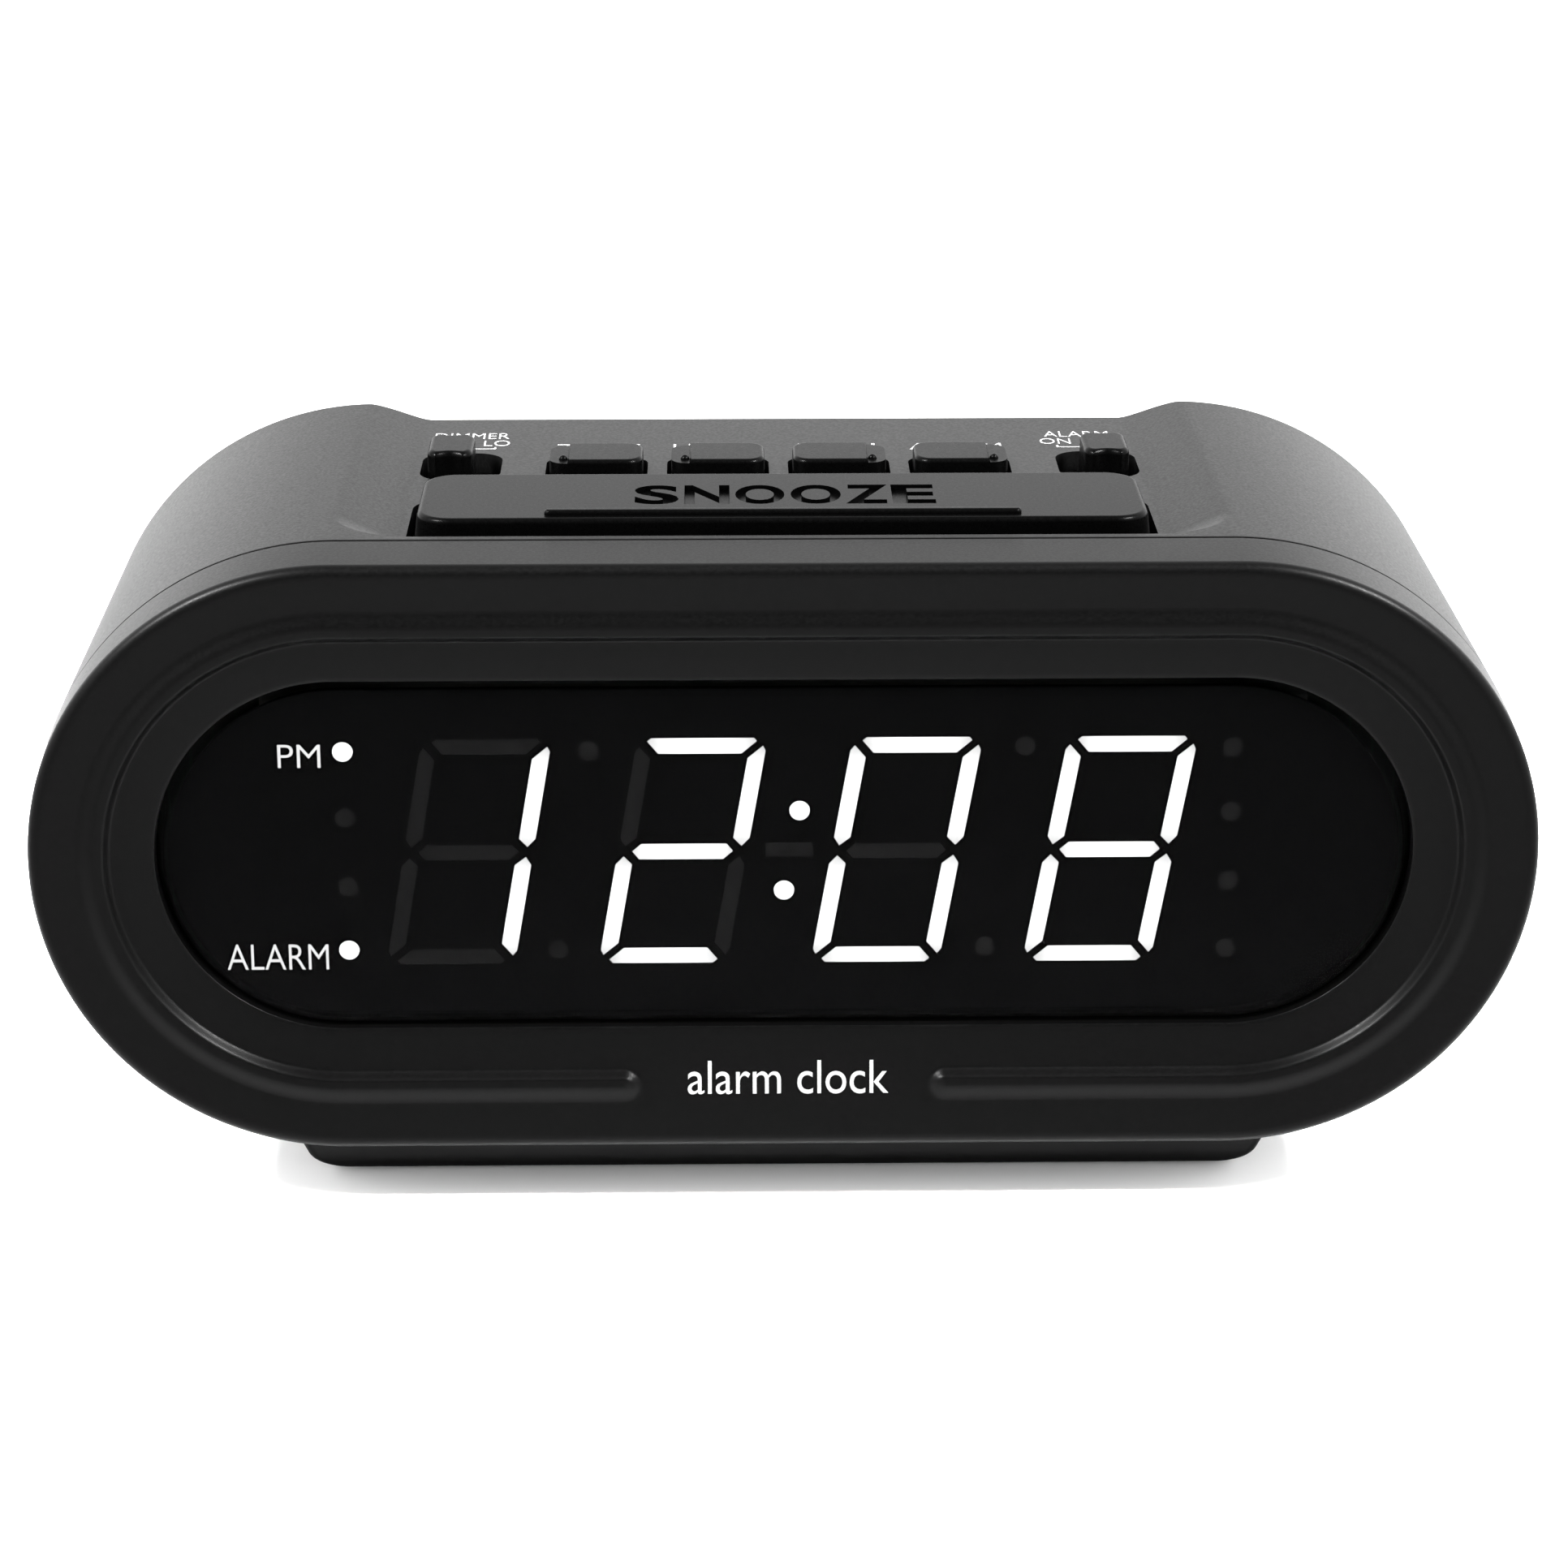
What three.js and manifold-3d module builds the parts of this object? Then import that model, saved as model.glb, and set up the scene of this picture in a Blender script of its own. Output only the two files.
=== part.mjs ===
// A mains-powered bedside alarm clock with a white LED display, as an assembly of separate pieces.
// Millimetres, +Z up, +X to the right seen from the front, the display facing -Y.
// The pieces are drawn in the case's own frame: its origin is on the long axis of the pill-shaped
// front, Y runs back from the front plane and Z is height above that axis. The last section stands
// the clock on its feet, with the origin under the middle of its footprint.
import * as THREE from "three";
import { mergeVertices } from "three/addons/utils/BufferGeometryUtils.js";
import Module from "manifold-3d";

const wasm = await Module();
wasm.setup();

// ---- Driving dimensions ----
const CASE_SPAN = 42.55; // from the middle to the centre of each round end
const CASE_R = 29.74; // rear shell, outside
const FACE_R = 29.46; // front bezel at its front edge; its side drafts out to the shell
const EDGE_R = 1.05; // rounding of the bezel's front edge
const DEPTH = 61.7; // front plane to back
const SEAM = 8; // back edge of the bezel
const GAP = 0.3; // between pieces that lie against each other
const WALL = 2.2;
const WINDOW_R = 17.6; // the bezel's opening
const DISH = 2.2; // the face falls back this much from its rim to the opening
const LIP_BACK = 3.9; // back of the bezel's wall round the opening
const PLINTH_FOOT = -35.2; // underside of the plinth
const FOOT_STAND = 0.6; // the rubber feet stand out of the plinth by this
const SHELL_FRONT = SEAM + GAP;
const INNER_R = CASE_R - WALL;

const TRAY_FLOOR = 27.7; // recess in the shell's top, which holds the controls
const TRAY_FRONT = 9.6;
const TRAY_HALF_TOP = 43.05;
const TRAY_HALF_FLOOR = 37.2;
const ROOF = TRAY_FLOOR - WALL; // inside of the wall under the controls

const BAR_HALF = 35.5; // snooze bar
const BAR_FRONT = 12.6;
const BAR_BACK = 29.3;
const BAR_TOP = 30.5;
const BAR_GAP = 0.5; // round the bar in its hole
const BAR_POST_X = 20;
const BAR_POST_Y = (BAR_FRONT + BAR_BACK) / 2;

const KEY_PLACES = [-18.55, -6.18, 6.18, 18.55];
const KEY_NAMES = ["time", "hour", "minute", "alarm"];
const KEY_Y = 41.6;
const KEY_HALF_X = 4.85;
const KEY_HALF_Y = 3.7;
const KEY_TOP = 29.5;
const KEY_GAP = 0.35; // round each key in its hole

const SLOT_X = 32.4; // slide switches
const SLOT_Y = 42;
const SLOT_HALF_X = 4.1;
const SLOT_HALF_Y = 4.8;
const KNOB_HALF_X = 2.5;
const KNOB_HALF_Y = 3.9;
const KNOB_TOP = 30.3;
const KNOB_SHIFT = 0.95; // each knob rests this far outboard of its slot's middle

const BOARD_TOP = 19.3; // key board
const BOARD_T = 1.6;
const SWITCH_TOP = 22.6;
const SWITCH_WELL = 20.2;
const PLUNGER_LOW = 21.5;
const PLUNGER_HIGH = 23.9;
const FLANGE_LOW = 24.2; // flanges that keep the keys and knobs under the roof
const FLANGE_HIGH = ROOF - GAP;

const PANEL_Y = 15.5; // front of the display board
const DIGIT_PITCH = 20.54;
const DIGIT_FIRST = -30.35;
const DIGIT_Z = -0.35;
const SLANT = 0.173; // the digits lean to the right by this much per millimetre of height

// The bars of a digit before the slant, about its centre. The level bars at the top and bottom and the
// four upright ones have lopsided ends, mitred into the digit's corners.
const BAR_T = 0.8; // half their thickness
const LEVEL = { z: 10.7, outer: 4.9, tip: 5.28, tipLift: 0.44, inner: 4.03 };
const MIDDLE = { flat: 4.1, tip: 4.88 };
const UPRIGHT = {
  x: 5.43,
  cornerZ: 10.19,
  tipZ: 10.7,
  tipOut: 0.46,
  innerZ: 9.47,
  lowZ: 1.3,
  lowTipZ: 0.47,
  lowOut: 0.15,
};

const POSTS = [
  [-51.7, -20.2],
  [51.7, -20.2],
  [-51.7, 20.2],
  [51.7, 20.2],
]; // case screws, as X and Z
const POST_R = 3.1;
const POST_BACK = 57;
const PANEL_SCREW_X = 64.5;
const BOARD_SCREW = { x: 26, y: 33.6 };

const BAY = { left: -27, right: 24.2, front: 31.5, back: 56, roof: -22.3 };
const DOOR = { halfX: 26.7, front: 29, top: -33.6, lipHalfX: 28.2, lipLow: -34.4 };
const CELL_R = 5.1;
const CELL_HALF = 21.9;
const CELL_Z = -27.85;
const CELL_Y = [37.9, 49.6];

const FOOT_PLACES = [
  [-38, 15.5],
  [38, 15.5],
  [-38, 54.5],
  [38, 54.5],
]; // X and Y
const FOOT_R = 4.5;
const JACK = { x: 46, z: -4 };
const BUZZER = { x: -42, z: -2, r: 10.5 };

// ---- Shapes ----
const CORNER_STEPS = 4;
const END_STEPS = 18;

function arc(cx, cy, r, from, to, steps) {
  return Array.from({ length: steps + 1 }, (_, i) => {
    const a = from + ((to - from) * i) / steps;
    return [cx + r * Math.cos(a), cy + r * Math.sin(a)];
  });
}

function pill(radius, lift = 0) {
  const quarter = Math.PI / 2;
  return [
    ...arc(CASE_SPAN, lift, radius, -quarter, quarter, END_STEPS),
    ...arc(-CASE_SPAN, lift, radius, quarter, 3 * quarter, END_STEPS),
  ];
}

function roundedRect(x0, x1, y0, y1, r) {
  const quarter = Math.PI / 2;
  const corners = [
    [x1 - r, y1 - r],
    [x0 + r, y1 - r],
    [x0 + r, y0 + r],
    [x1 - r, y0 + r],
  ];
  return corners.flatMap(([x, y], i) => arc(x, y, r, i * quarter, (i + 1) * quarter, CORNER_STEPS));
}

function rectAbout(x, y, halfX, halfY, r) {
  return roundedRect(x - halfX, x + halfX, y - halfY, y + halfY, r);
}

// A closed solid through loops of equal point count. Each level is [height, loop]; the loops are
// drawn in X and Y and stacked along Z, or drawn in X and Z and stacked along Y.
function loft(levels, axis = "z") {
  const n = levels[0][1].length;
  const along = axis === "y";
  const place = (u, v, w) => (along ? [u, w, v] : [u, v, w]);
  const positions = levels.flatMap(([w, loop]) => loop.flatMap(([u, v]) => place(u, v, w)));
  const index = [];
  const face = (a, b, c) => index.push(a, ...(along ? [c, b] : [b, c]));
  for (let k = 0; k + 1 < levels.length; k++) {
    for (let i = 0; i < n; i++) {
      const j = (i + 1) % n;
      face(k * n + i, k * n + j, (k + 1) * n + j);
      face(k * n + i, (k + 1) * n + j, (k + 1) * n + i);
    }
  }
  const top = (levels.length - 1) * n;
  for (let i = 1; i + 1 < n; i++) {
    face(0, i + 1, i);
    face(top, top + i, top + i + 1);
  }
  const geometry = new THREE.BufferGeometry();
  geometry.setAttribute("position", new THREE.Float32BufferAttribute(positions, 3));
  geometry.setIndex(index);
  return geometry;
}

function box(x0, x1, y0, y1, z0, z1) {
  const geometry = new THREE.BoxGeometry(x1 - x0, y1 - y0, z1 - z0);
  return geometry.translate((x0 + x1) / 2, (y0 + y1) / 2, (z0 + z1) / 2);
}

const ROUND = 16;

function rodX(y, z, r, x0, x1, sides = ROUND) {
  const geometry = new THREE.CylinderGeometry(r, r, x1 - x0, sides);
  return geometry.rotateZ(Math.PI / 2).translate((x0 + x1) / 2, y, z);
}

function rodY(x, z, r, y0, y1, sides = ROUND) {
  return new THREE.CylinderGeometry(r, r, y1 - y0, sides).translate(x, (y0 + y1) / 2, z);
}

function rodZ(x, y, r, z0, z1, sides = ROUND) {
  const geometry = new THREE.CylinderGeometry(r, r, z1 - z0, sides);
  return geometry.rotateX(Math.PI / 2).translate(x, y, (z0 + z1) / 2);
}

// A turned piece about a line along Y through (x, z); the profile is [radius, y] and starts and
// ends on that line.
function turnedY(x, z, profile, sides = ROUND) {
  const points = profile.map(([r, y]) => new THREE.Vector2(r, y));
  return new THREE.LatheGeometry(points, sides).translate(x, 0, z);
}

// A plate of a flat outline in X and Z, from y0 to y1.
function plateY(outline, y0, y1) {
  const shape = new THREE.Shape(outline.map(([x, z]) => new THREE.Vector2(x, z)));
  const geometry = new THREE.ExtrudeGeometry(shape, { depth: y1 - y0, bevelEnabled: false });
  return geometry.rotateX(Math.PI / 2).translate(0, y1, 0);
}

function solid(geometry) {
  const bare = geometry.clone();
  bare.deleteAttribute("normal");
  bare.deleteAttribute("uv");
  const merged = mergeVertices(bare, 1e-4);
  const vertProperties = Float32Array.from(merged.attributes.position.array);
  const triVerts = Uint32Array.from(merged.index.array);
  return new wasm.Manifold(new wasm.Mesh({ numProp: 3, vertProperties, triVerts }));
}

function join(...geometries) {
  return geometries.map(solid).reduce((a, b) => a.add(b));
}

function cut(body, ...geometries) {
  return geometries.map(solid).reduce((a, b) => a.subtract(b), body);
}

// ---- Display segments ----
// The seven bars of a digit, each an outline in X and Z about the digit's centre, before the slant.
function digitBars() {
  const mirror = (outline, sx, sz) => outline.map(([x, z]) => [sx * x, sz * z]);
  const level = [
    [-LEVEL.outer, LEVEL.z + BAR_T],
    [-LEVEL.tip, LEVEL.z + LEVEL.tipLift],
    [-LEVEL.inner, LEVEL.z - BAR_T],
    [LEVEL.inner, LEVEL.z - BAR_T],
    [LEVEL.tip, LEVEL.z + LEVEL.tipLift],
    [LEVEL.outer, LEVEL.z + BAR_T],
  ];
  const middle = [
    [-MIDDLE.flat, BAR_T],
    [-MIDDLE.tip, 0],
    [-MIDDLE.flat, -BAR_T],
    [MIDDLE.flat, -BAR_T],
    [MIDDLE.tip, 0],
    [MIDDLE.flat, BAR_T],
  ];
  const upright = [
    [UPRIGHT.x + BAR_T, UPRIGHT.cornerZ],
    [UPRIGHT.x + UPRIGHT.tipOut, UPRIGHT.tipZ],
    [UPRIGHT.x - BAR_T, UPRIGHT.innerZ],
    [UPRIGHT.x - BAR_T, UPRIGHT.lowZ],
    [UPRIGHT.x + UPRIGHT.lowOut, UPRIGHT.lowTipZ],
    [UPRIGHT.x + BAR_T, UPRIGHT.lowZ],
  ];
  const uprights = [[1, 1], [-1, 1], [1, -1], [-1, -1]].map(([sx, sz]) => mirror(upright, sx, sz));
  return [level, middle, mirror(level, 1, -1), ...uprights];
}

function barOutline(outline, place) {
  return outline.map(([x, z]) => [place + x + SLANT * z, DIGIT_Z + z]);
}

function middleOf(outline) {
  return [0, 1].map((axis) => outline.reduce((sum, point) => sum + point[axis], 0) / outline.length);
}

const DIGITS = [0, 1, 2, 3].map((k) => DIGIT_FIRST + k * DIGIT_PITCH);
const DOTS = [
  [1.43, 3.75],
  [-0.06, -4.38],
  [-42.1, 9.9],
  [-42.1, -10.35],
]; // colon, afternoon and alarm lamps, as X and Z
const DOT_R = 0.98;

function segmentWells(y0, y1) {
  const outlines = DIGITS.flatMap((place) => digitBars().map((bar) => barOutline(bar, place)));
  const bars = outlines.map((outline) => plateY(outline, y0, y1));
  const dots = DOTS.map(([x, z]) => rodY(x, z, DOT_R, y0, y1, 8));
  return [...bars, ...dots];
}

// ---- Case ----
// The face is a shallow dish: this is its depth at a given pill radius.
function faceY(r) {
  return (DISH * (FACE_R - EDGE_R - r)) / (FACE_R - EDGE_R - WINDOW_R);
}

// The raised moulding that runs round the face and stops short on both sides of its lower middle.
const BEAD = { inner: 21.85, crest: 22.7, outer: 24.95, height: 0.75, sunk: 0.25, end: 14.1, endStep: 1.4 };

function bead() {
  const path = [];
  const ends = 4;
  const straight = (x, side, swell) => path.push({ x, z: side, nx: 0, nz: side, swell });
  for (let i = 0; i <= ends; i++) {
    const t = i / ends;
    straight(BEAD.end + BEAD.endStep * t, -1, Math.sqrt(1 - (1 - t) ** 2));
  }
  for (const side of [1, -1]) {
    for (let i = 0; i <= END_STEPS; i++) {
      const a = side * (-Math.PI / 2 + (Math.PI * i) / END_STEPS);
      const [c, s] = [Math.cos(a), Math.sin(a)];
      path.push({ x: side * CASE_SPAN, nx: side * c, nz: s, swell: 1 });
    }
  }
  for (let i = ends; i >= 0; i--) {
    const t = i / ends;
    straight(-BEAD.end - BEAD.endStep * t, -1, Math.sqrt(1 - (1 - t) ** 2));
  }
  const middle = (BEAD.inner + BEAD.outer) / 2;
  const section = (swell) => {
    const at = (r) => middle + (r - middle) * Math.max(swell, 0.05);
    const rise = BEAD.height * Math.max(swell, 0.05);
    return [
      [at(BEAD.inner), faceY(at(BEAD.inner)) + BEAD.sunk],
      [at(BEAD.inner), faceY(at(BEAD.inner)) - 0.6 * rise],
      [at(BEAD.crest), faceY(at(BEAD.crest)) - rise],
      [at((BEAD.crest + BEAD.outer) / 2), faceY(at((BEAD.crest + BEAD.outer) / 2)) - 0.7 * rise],
      [at(BEAD.outer), faceY(at(BEAD.outer)) + 0.02],
      [at(BEAD.outer), faceY(at(BEAD.outer)) + BEAD.sunk],
    ];
  };
  const loops = path.map(({ x, nx, nz, swell }) => section(swell).map(([r, y]) => [x + nx * r, y, nz * r]));
  const n = loops[0].length;
  const index = [];
  for (let k = 0; k + 1 < loops.length; k++) {
    for (let i = 0; i < n; i++) {
      const j = (i + 1) % n;
      index.push(k * n + i, (k + 1) * n + j, k * n + j);
      index.push(k * n + i, (k + 1) * n + i, (k + 1) * n + j);
    }
  }
  const last = (loops.length - 1) * n;
  for (let i = 1; i + 1 < n; i++) {
    index.push(0, i, i + 1);
    index.push(last, last + i + 1, last + i);
  }
  const geometry = new THREE.BufferGeometry();
  geometry.setAttribute("position", new THREE.Float32BufferAttribute(loops.flat(2), 3));
  geometry.setIndex(index);
  return geometry;
}

function frontBezel() {
  const edge = [0, 30, 60, 90].map((degrees) => {
    const a = (degrees * Math.PI) / 180;
    return [EDGE_R * (1 - Math.cos(a)), pill(FACE_R - EDGE_R * (1 - Math.sin(a)))];
  });
  const outside = loft([...edge, [SEAM, pill(CASE_R)]], "y");
  const slope = (FACE_R - EDGE_R - WINDOW_R) / DISH;
  const dish = loft([[-1, pill(FACE_R - EDGE_R + slope)], [DISH, pill(WINDOW_R)]], "y");
  const opening = loft([[-1, pill(WINDOW_R)], [SEAM + 1, pill(WINDOW_R)]], "y");
  const inside = loft([[LIP_BACK, pill(INNER_R)], [SEAM + 1, pill(INNER_R)]], "y");
  const ring = cut(solid(outside), dish, opening, inside).add(solid(bead()));
  const posts = POSTS.map(([x, z]) => rodY(x, z, POST_R, LIP_BACK - 1, POST_BACK));
  const postHoles = POSTS.map(([x, z]) => rodY(x, z, 1.75, 46, POST_BACK + 1));
  const bosses = [-1, 1].map((side) => rodY(side * PANEL_SCREW_X, 0, 2.6, LIP_BACK - 1, PANEL_Y - GAP));
  const bossHoles = [-1, 1].map((side) => rodY(side * PANEL_SCREW_X, 0, 1.3, 6, PANEL_Y));
  return cut(ring.add(join(...posts, ...bosses)), ...postHoles, ...bossHoles);
}

function tray() {
  const above = 1.5;
  const slope = (TRAY_HALF_TOP - TRAY_HALF_FLOOR) / (CASE_R - TRAY_FLOOR);
  const behind = DEPTH + 30;
  const half = TRAY_HALF_TOP + above * slope;
  return loft([
    [TRAY_FLOOR, roundedRect(-TRAY_HALF_FLOOR, TRAY_HALF_FLOOR, TRAY_FRONT + 1.2, behind, 5)],
    [CASE_R, roundedRect(-TRAY_HALF_TOP, TRAY_HALF_TOP, TRAY_FRONT, behind, 8)],
    [CASE_R + above, roundedRect(-half, half, TRAY_FRONT - 0.4, behind, 9)],
  ]);
}

function rearShell() {
  const outer = solid(loft([[SHELL_FRONT, pill(CASE_R)], [DEPTH, pill(CASE_R)]], "y"));
  const plinth = loft([
    [PLINTH_FOOT, roundedRect(-45.9, 45.9, SHELL_FRONT, DEPTH, 1)],
    [PLINTH_FOOT + 1, roundedRect(-47.2, 47.2, SHELL_FRONT, DEPTH, 1)],
    [-27, roundedRect(-51, 51, SHELL_FRONT, DEPTH, 1)],
  ]);
  const hollow = loft([[SHELL_FRONT - 1, pill(INNER_R)], [DEPTH - WALL, pill(INNER_R)]], "y");
  const plinthHollow = loft([
    [PLINTH_FOOT + WALL, roundedRect(-43.6, 43.6, SHELL_FRONT + WALL, DEPTH - WALL, 1)],
    [-24, roundedRect(-46, 46, SHELL_FRONT + WALL, DEPTH - WALL, 1)],
  ]);
  const lipOuter = loft([[5.6, pill(INNER_R - GAP)], [SHELL_FRONT + 0.2, pill(INNER_R - GAP)]], "y");
  const lipRoot = loft([[SHELL_FRONT, pill(INNER_R + 0.5)], [10.5, pill(INNER_R + 0.5)]], "y");
  const lipHollow = loft([[5, pill(INNER_R - GAP - 1.4)], [11, pill(INNER_R - GAP - 1.4)]], "y");
  const roof = box(-TRAY_HALF_TOP, TRAY_HALF_TOP, SHELL_FRONT, DEPTH - 1, ROOF, CASE_R - 1);
  const bayOutside = box(
    BAY.left - WALL, -BAY.left + WALL, BAY.front - WALL, DEPTH - 1, PLINTH_FOOT + 0.5, BAY.roof + 1.6,
  );
  const backBosses = POSTS.map(([x, z]) => rodY(x, z, 4.6, POST_BACK + GAP, DEPTH - 0.5));
  const boardBosses = [-1, 1].map((side) => (
    rodZ(side * BOARD_SCREW.x, BOARD_SCREW.y, 2.6, BOARD_TOP + GAP, ROOF + 1)
  ));
  const shell = cut(outer.add(solid(plinth)), hollow, plinthHollow)
    .add(join(lipOuter, lipRoot).subtract(solid(lipHollow)))
    .add(solid(roof).intersect(outer))
    .add(join(bayOutside, ...backBosses, ...boardBosses));
  const hole = (x, y, halfX, halfY, r) => (
    loft([20, 32].map((z) => [z, rectAbout(x, y, halfX, halfY, r)]))
  );
  const keyHoles = KEY_PLACES.map((x) => hole(x, KEY_Y, KEY_HALF_X + KEY_GAP, KEY_HALF_Y + KEY_GAP, 1.3));
  const slots = [-1, 1].map((side) => hole(side * SLOT_X, SLOT_Y, SLOT_HALF_X, SLOT_HALF_Y, 1.5));
  const barHole = hole(0, BAR_POST_Y, BAR_HALF + BAR_GAP, BAR_BACK - BAR_POST_Y + BAR_GAP, 3);
  const bay = box(BAY.left, BAY.right, BAY.front, BAY.back, PLINTH_FOOT - 1, BAY.roof);
  const [doorHalf, lipHalf, doorFront] = [DOOR.halfX + GAP, DOOR.lipHalfX + GAP, DOOR.front - GAP];
  const doorWay = box(-doorHalf, doorHalf, doorFront, DEPTH + 1, -37, DOOR.top + GAP);
  const doorGroove = box(-lipHalf, lipHalf, doorFront, DEPTH + 1, DOOR.lipLow - GAP, DOOR.top + GAP);
  const footWells = FOOT_PLACES.map(([x, y]) => rodZ(x, y, FOOT_R + GAP, -37, PLINTH_FOOT + 0.9));
  const screwWells = POSTS.map(([x, z]) => rodY(x, z, 3.3, DEPTH - 2.2, DEPTH + 1));
  const screwHoles = POSTS.map(([x, z]) => rodY(x, z, 1.75, POST_BACK - 1, DEPTH));
  const boardHoles = [-1, 1].map((side) => (
    rodZ(side * BOARD_SCREW.x, BOARD_SCREW.y, 1.3, BOARD_TOP, ROOF - 0.5)
  ));
  const jackHole = rodY(JACK.x, JACK.z, 4.3, DEPTH - 4, DEPTH + 1);
  const soundHoles = [0, 1, 2, 3, 4, 5, 6].map((k) => {
    const [reach, a] = [k ? 5 : 0, (k * Math.PI) / 3];
    const [x, z] = [BUZZER.x + reach * Math.cos(a), BUZZER.z + reach * Math.sin(a)];
    return rodY(x, z, 1.1, DEPTH - 4, DEPTH + 1, 8);
  });
  return cut(
    shell, tray(), ...keyHoles, ...slots, barHole, bay, doorWay, doorGroove, ...footWells,
    ...screwWells, ...screwHoles, ...boardHoles, jackHole, ...soundHoles,
  );
}

// ---- Display ----
// The lens: a raised plateau that fills the opening, on a flange behind the bezel's lip. It sits
// slightly low in the opening.
const LENS = { r: 16.95, lift: -0.3, front: 2.95, flangeR: 18.7, flangeFront: 4.2, back: 5.4, skin: 1.1 };

function displayWindow() {
  const plateau = loft([
    [LENS.front, pill(LENS.r - 0.2, LENS.lift)],
    [LENS.front + 0.2, pill(LENS.r, LENS.lift)],
    [LENS.back, pill(LENS.r, LENS.lift)],
  ], "y");
  const flange = loft([[LENS.flangeFront, pill(LENS.flangeR)], [LENS.back, pill(LENS.flangeR)]], "y");
  const hollow = pill(LENS.r - 1.2);
  const pocket = loft([[LENS.front + LENS.skin, hollow], [LENS.back + 1, hollow]], "y");
  return cut(join(plateau, flange), pocket);
}

const MASK = { r: 15.4, front: 4.35, back: 5.15 };
const REFLECTOR = { halfX: 50, halfZ: 14.6, front: 6.2 };

function segmentMask() {
  const plate = loft([[MASK.front, pill(MASK.r)], [MASK.back, pill(MASK.r)]], "y");
  return cut(solid(plate), ...segmentWells(MASK.front - 1, MASK.back + 1));
}

function diffuserSheet() {
  return solid(loft([[MASK.back + GAP, pill(MASK.r)], [REFLECTOR.front - GAP, pill(MASK.r)]], "y"));
}

function reflectorBlock() {
  const { halfX, halfZ, front } = REFLECTOR;
  const block = box(-halfX, halfX, front, PANEL_Y - GAP, -halfZ, halfZ);
  return cut(solid(block), ...segmentWells(front - 1, PANEL_Y));
}

// The board behind the display, with one light source in each well.
function displayBoard() {
  const halfX = 67.2;
  const halfZ = 16.6;
  const loop = roundedRect(-halfX, halfX, -halfZ, halfZ, 12);
  const plate = loft([[PANEL_Y, loop], [PANEL_Y + BOARD_T, loop]], "y");
  const dice = DIGITS.flatMap((place) => digitBars().map((bar) => middleOf(barOutline(bar, place))));
  const lamps = [...dice, ...DOTS].map(([x, z]) => (
    box(x - 0.45, x + 0.45, PANEL_Y - 1, PANEL_Y + 0.5, z - 0.45, z + 0.45)
  ));
  const holes = [-1, 1].map((side) => (
    rodY(side * PANEL_SCREW_X, 0, 1.5, PANEL_Y - 1, PANEL_Y + BOARD_T + 1)
  ));
  return cut(join(plate, ...lamps), ...holes);
}

// ---- Controls ----
function keyBoard() {
  const plate = box(-40, 40, 13, 55, BOARD_TOP - BOARD_T, BOARD_TOP);
  const holes = [-1, 1].map((side) => rodZ(side * BOARD_SCREW.x, BOARD_SCREW.y, 1.5, 15, BOARD_TOP + 1));
  return cut(solid(plate), ...holes);
}

function pushSwitch(x, y) {
  const body = box(x - 3, x + 3, y - 3, y + 3, BOARD_TOP + GAP, SWITCH_TOP);
  return cut(solid(body), rodZ(x, y, 2, SWITCH_WELL, SWITCH_TOP + 1, 12));
}

function plunger(x, y) {
  return solid(rodZ(x, y, 1.6, PLUNGER_LOW, PLUNGER_HIGH, 12));
}

// One outer corner strip of each key stands lower than the rest and carries a small dot to feel.
function key(x) {
  const side = Math.sign(x);
  const edge = 0.5;
  const step = 0.35;
  const stripX = x + side * (KEY_HALF_X - 1.3);
  const outline = (inset) => rectAbout(x, KEY_Y, KEY_HALF_X - inset, KEY_HALF_Y - inset, 1.2);
  const cap = loft([
    [FLANGE_LOW, outline(0)],
    [KEY_TOP - edge, outline(0.15)],
    [KEY_TOP - edge * 0.3, outline(0.3)],
    [KEY_TOP, outline(0.65)],
  ]);
  const flange = box(x - 5.7, x + 5.7, KEY_Y - 4.9, KEY_Y + 4.9, FLANGE_LOW, FLANGE_HIGH);
  const far = x + side * 8;
  const strip = box(
    Math.min(stripX, far), Math.max(stripX, far), KEY_Y - 6, KEY_Y + 6, KEY_TOP - step, KEY_TOP + 1,
  );
  const dot = new THREE.SphereGeometry(0.45, 8, 6);
  dot.translate(x + side * (KEY_HALF_X - 1.75), KEY_Y - KEY_HALF_Y + 1.2, KEY_TOP - step);
  return cut(join(cap, flange), strip).add(solid(dot));
}

function snoozeBar() {
  const outline = (inset) => (
    roundedRect(-BAR_HALF + inset, BAR_HALF - inset, BAR_FRONT + inset, BAR_BACK - inset, 2.6)
  );
  const cap = loft([
    [FLANGE_LOW, outline(0)],
    [BAR_TOP - 0.9, outline(0)],
    [BAR_TOP - 0.27, outline(0.27)],
    [BAR_TOP, outline(0.9)],
  ]);
  const inner = BAR_HALF - 2;
  const pocket = box(-inner, inner, BAR_FRONT + 2, BAR_BACK - 2, FLANGE_LOW - 1, BAR_TOP - 2.2);
  const posts = [-1, 1].map((side) => rodZ(side * BAR_POST_X, BAR_POST_Y, 2.4, FLANGE_LOW, BAR_TOP - 2));
  const hooks = [-1, 1].map((side) => {
    const ends = [side * (BAR_HALF - 1), side * (BAR_HALF + 1.6)];
    const [left, right] = [Math.min(...ends), Math.max(...ends)];
    return box(left, right, BAR_POST_Y - 5, BAR_POST_Y + 5, FLANGE_LOW, FLANGE_HIGH);
  });
  const rib = box(-23, 23, BAR_FRONT + 1.2, BAR_FRONT + 2.3, BAR_TOP - 1, BAR_TOP + 0.4);
  return cut(solid(cap), pocket).add(join(...posts, ...hooks, rib));
}

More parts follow.
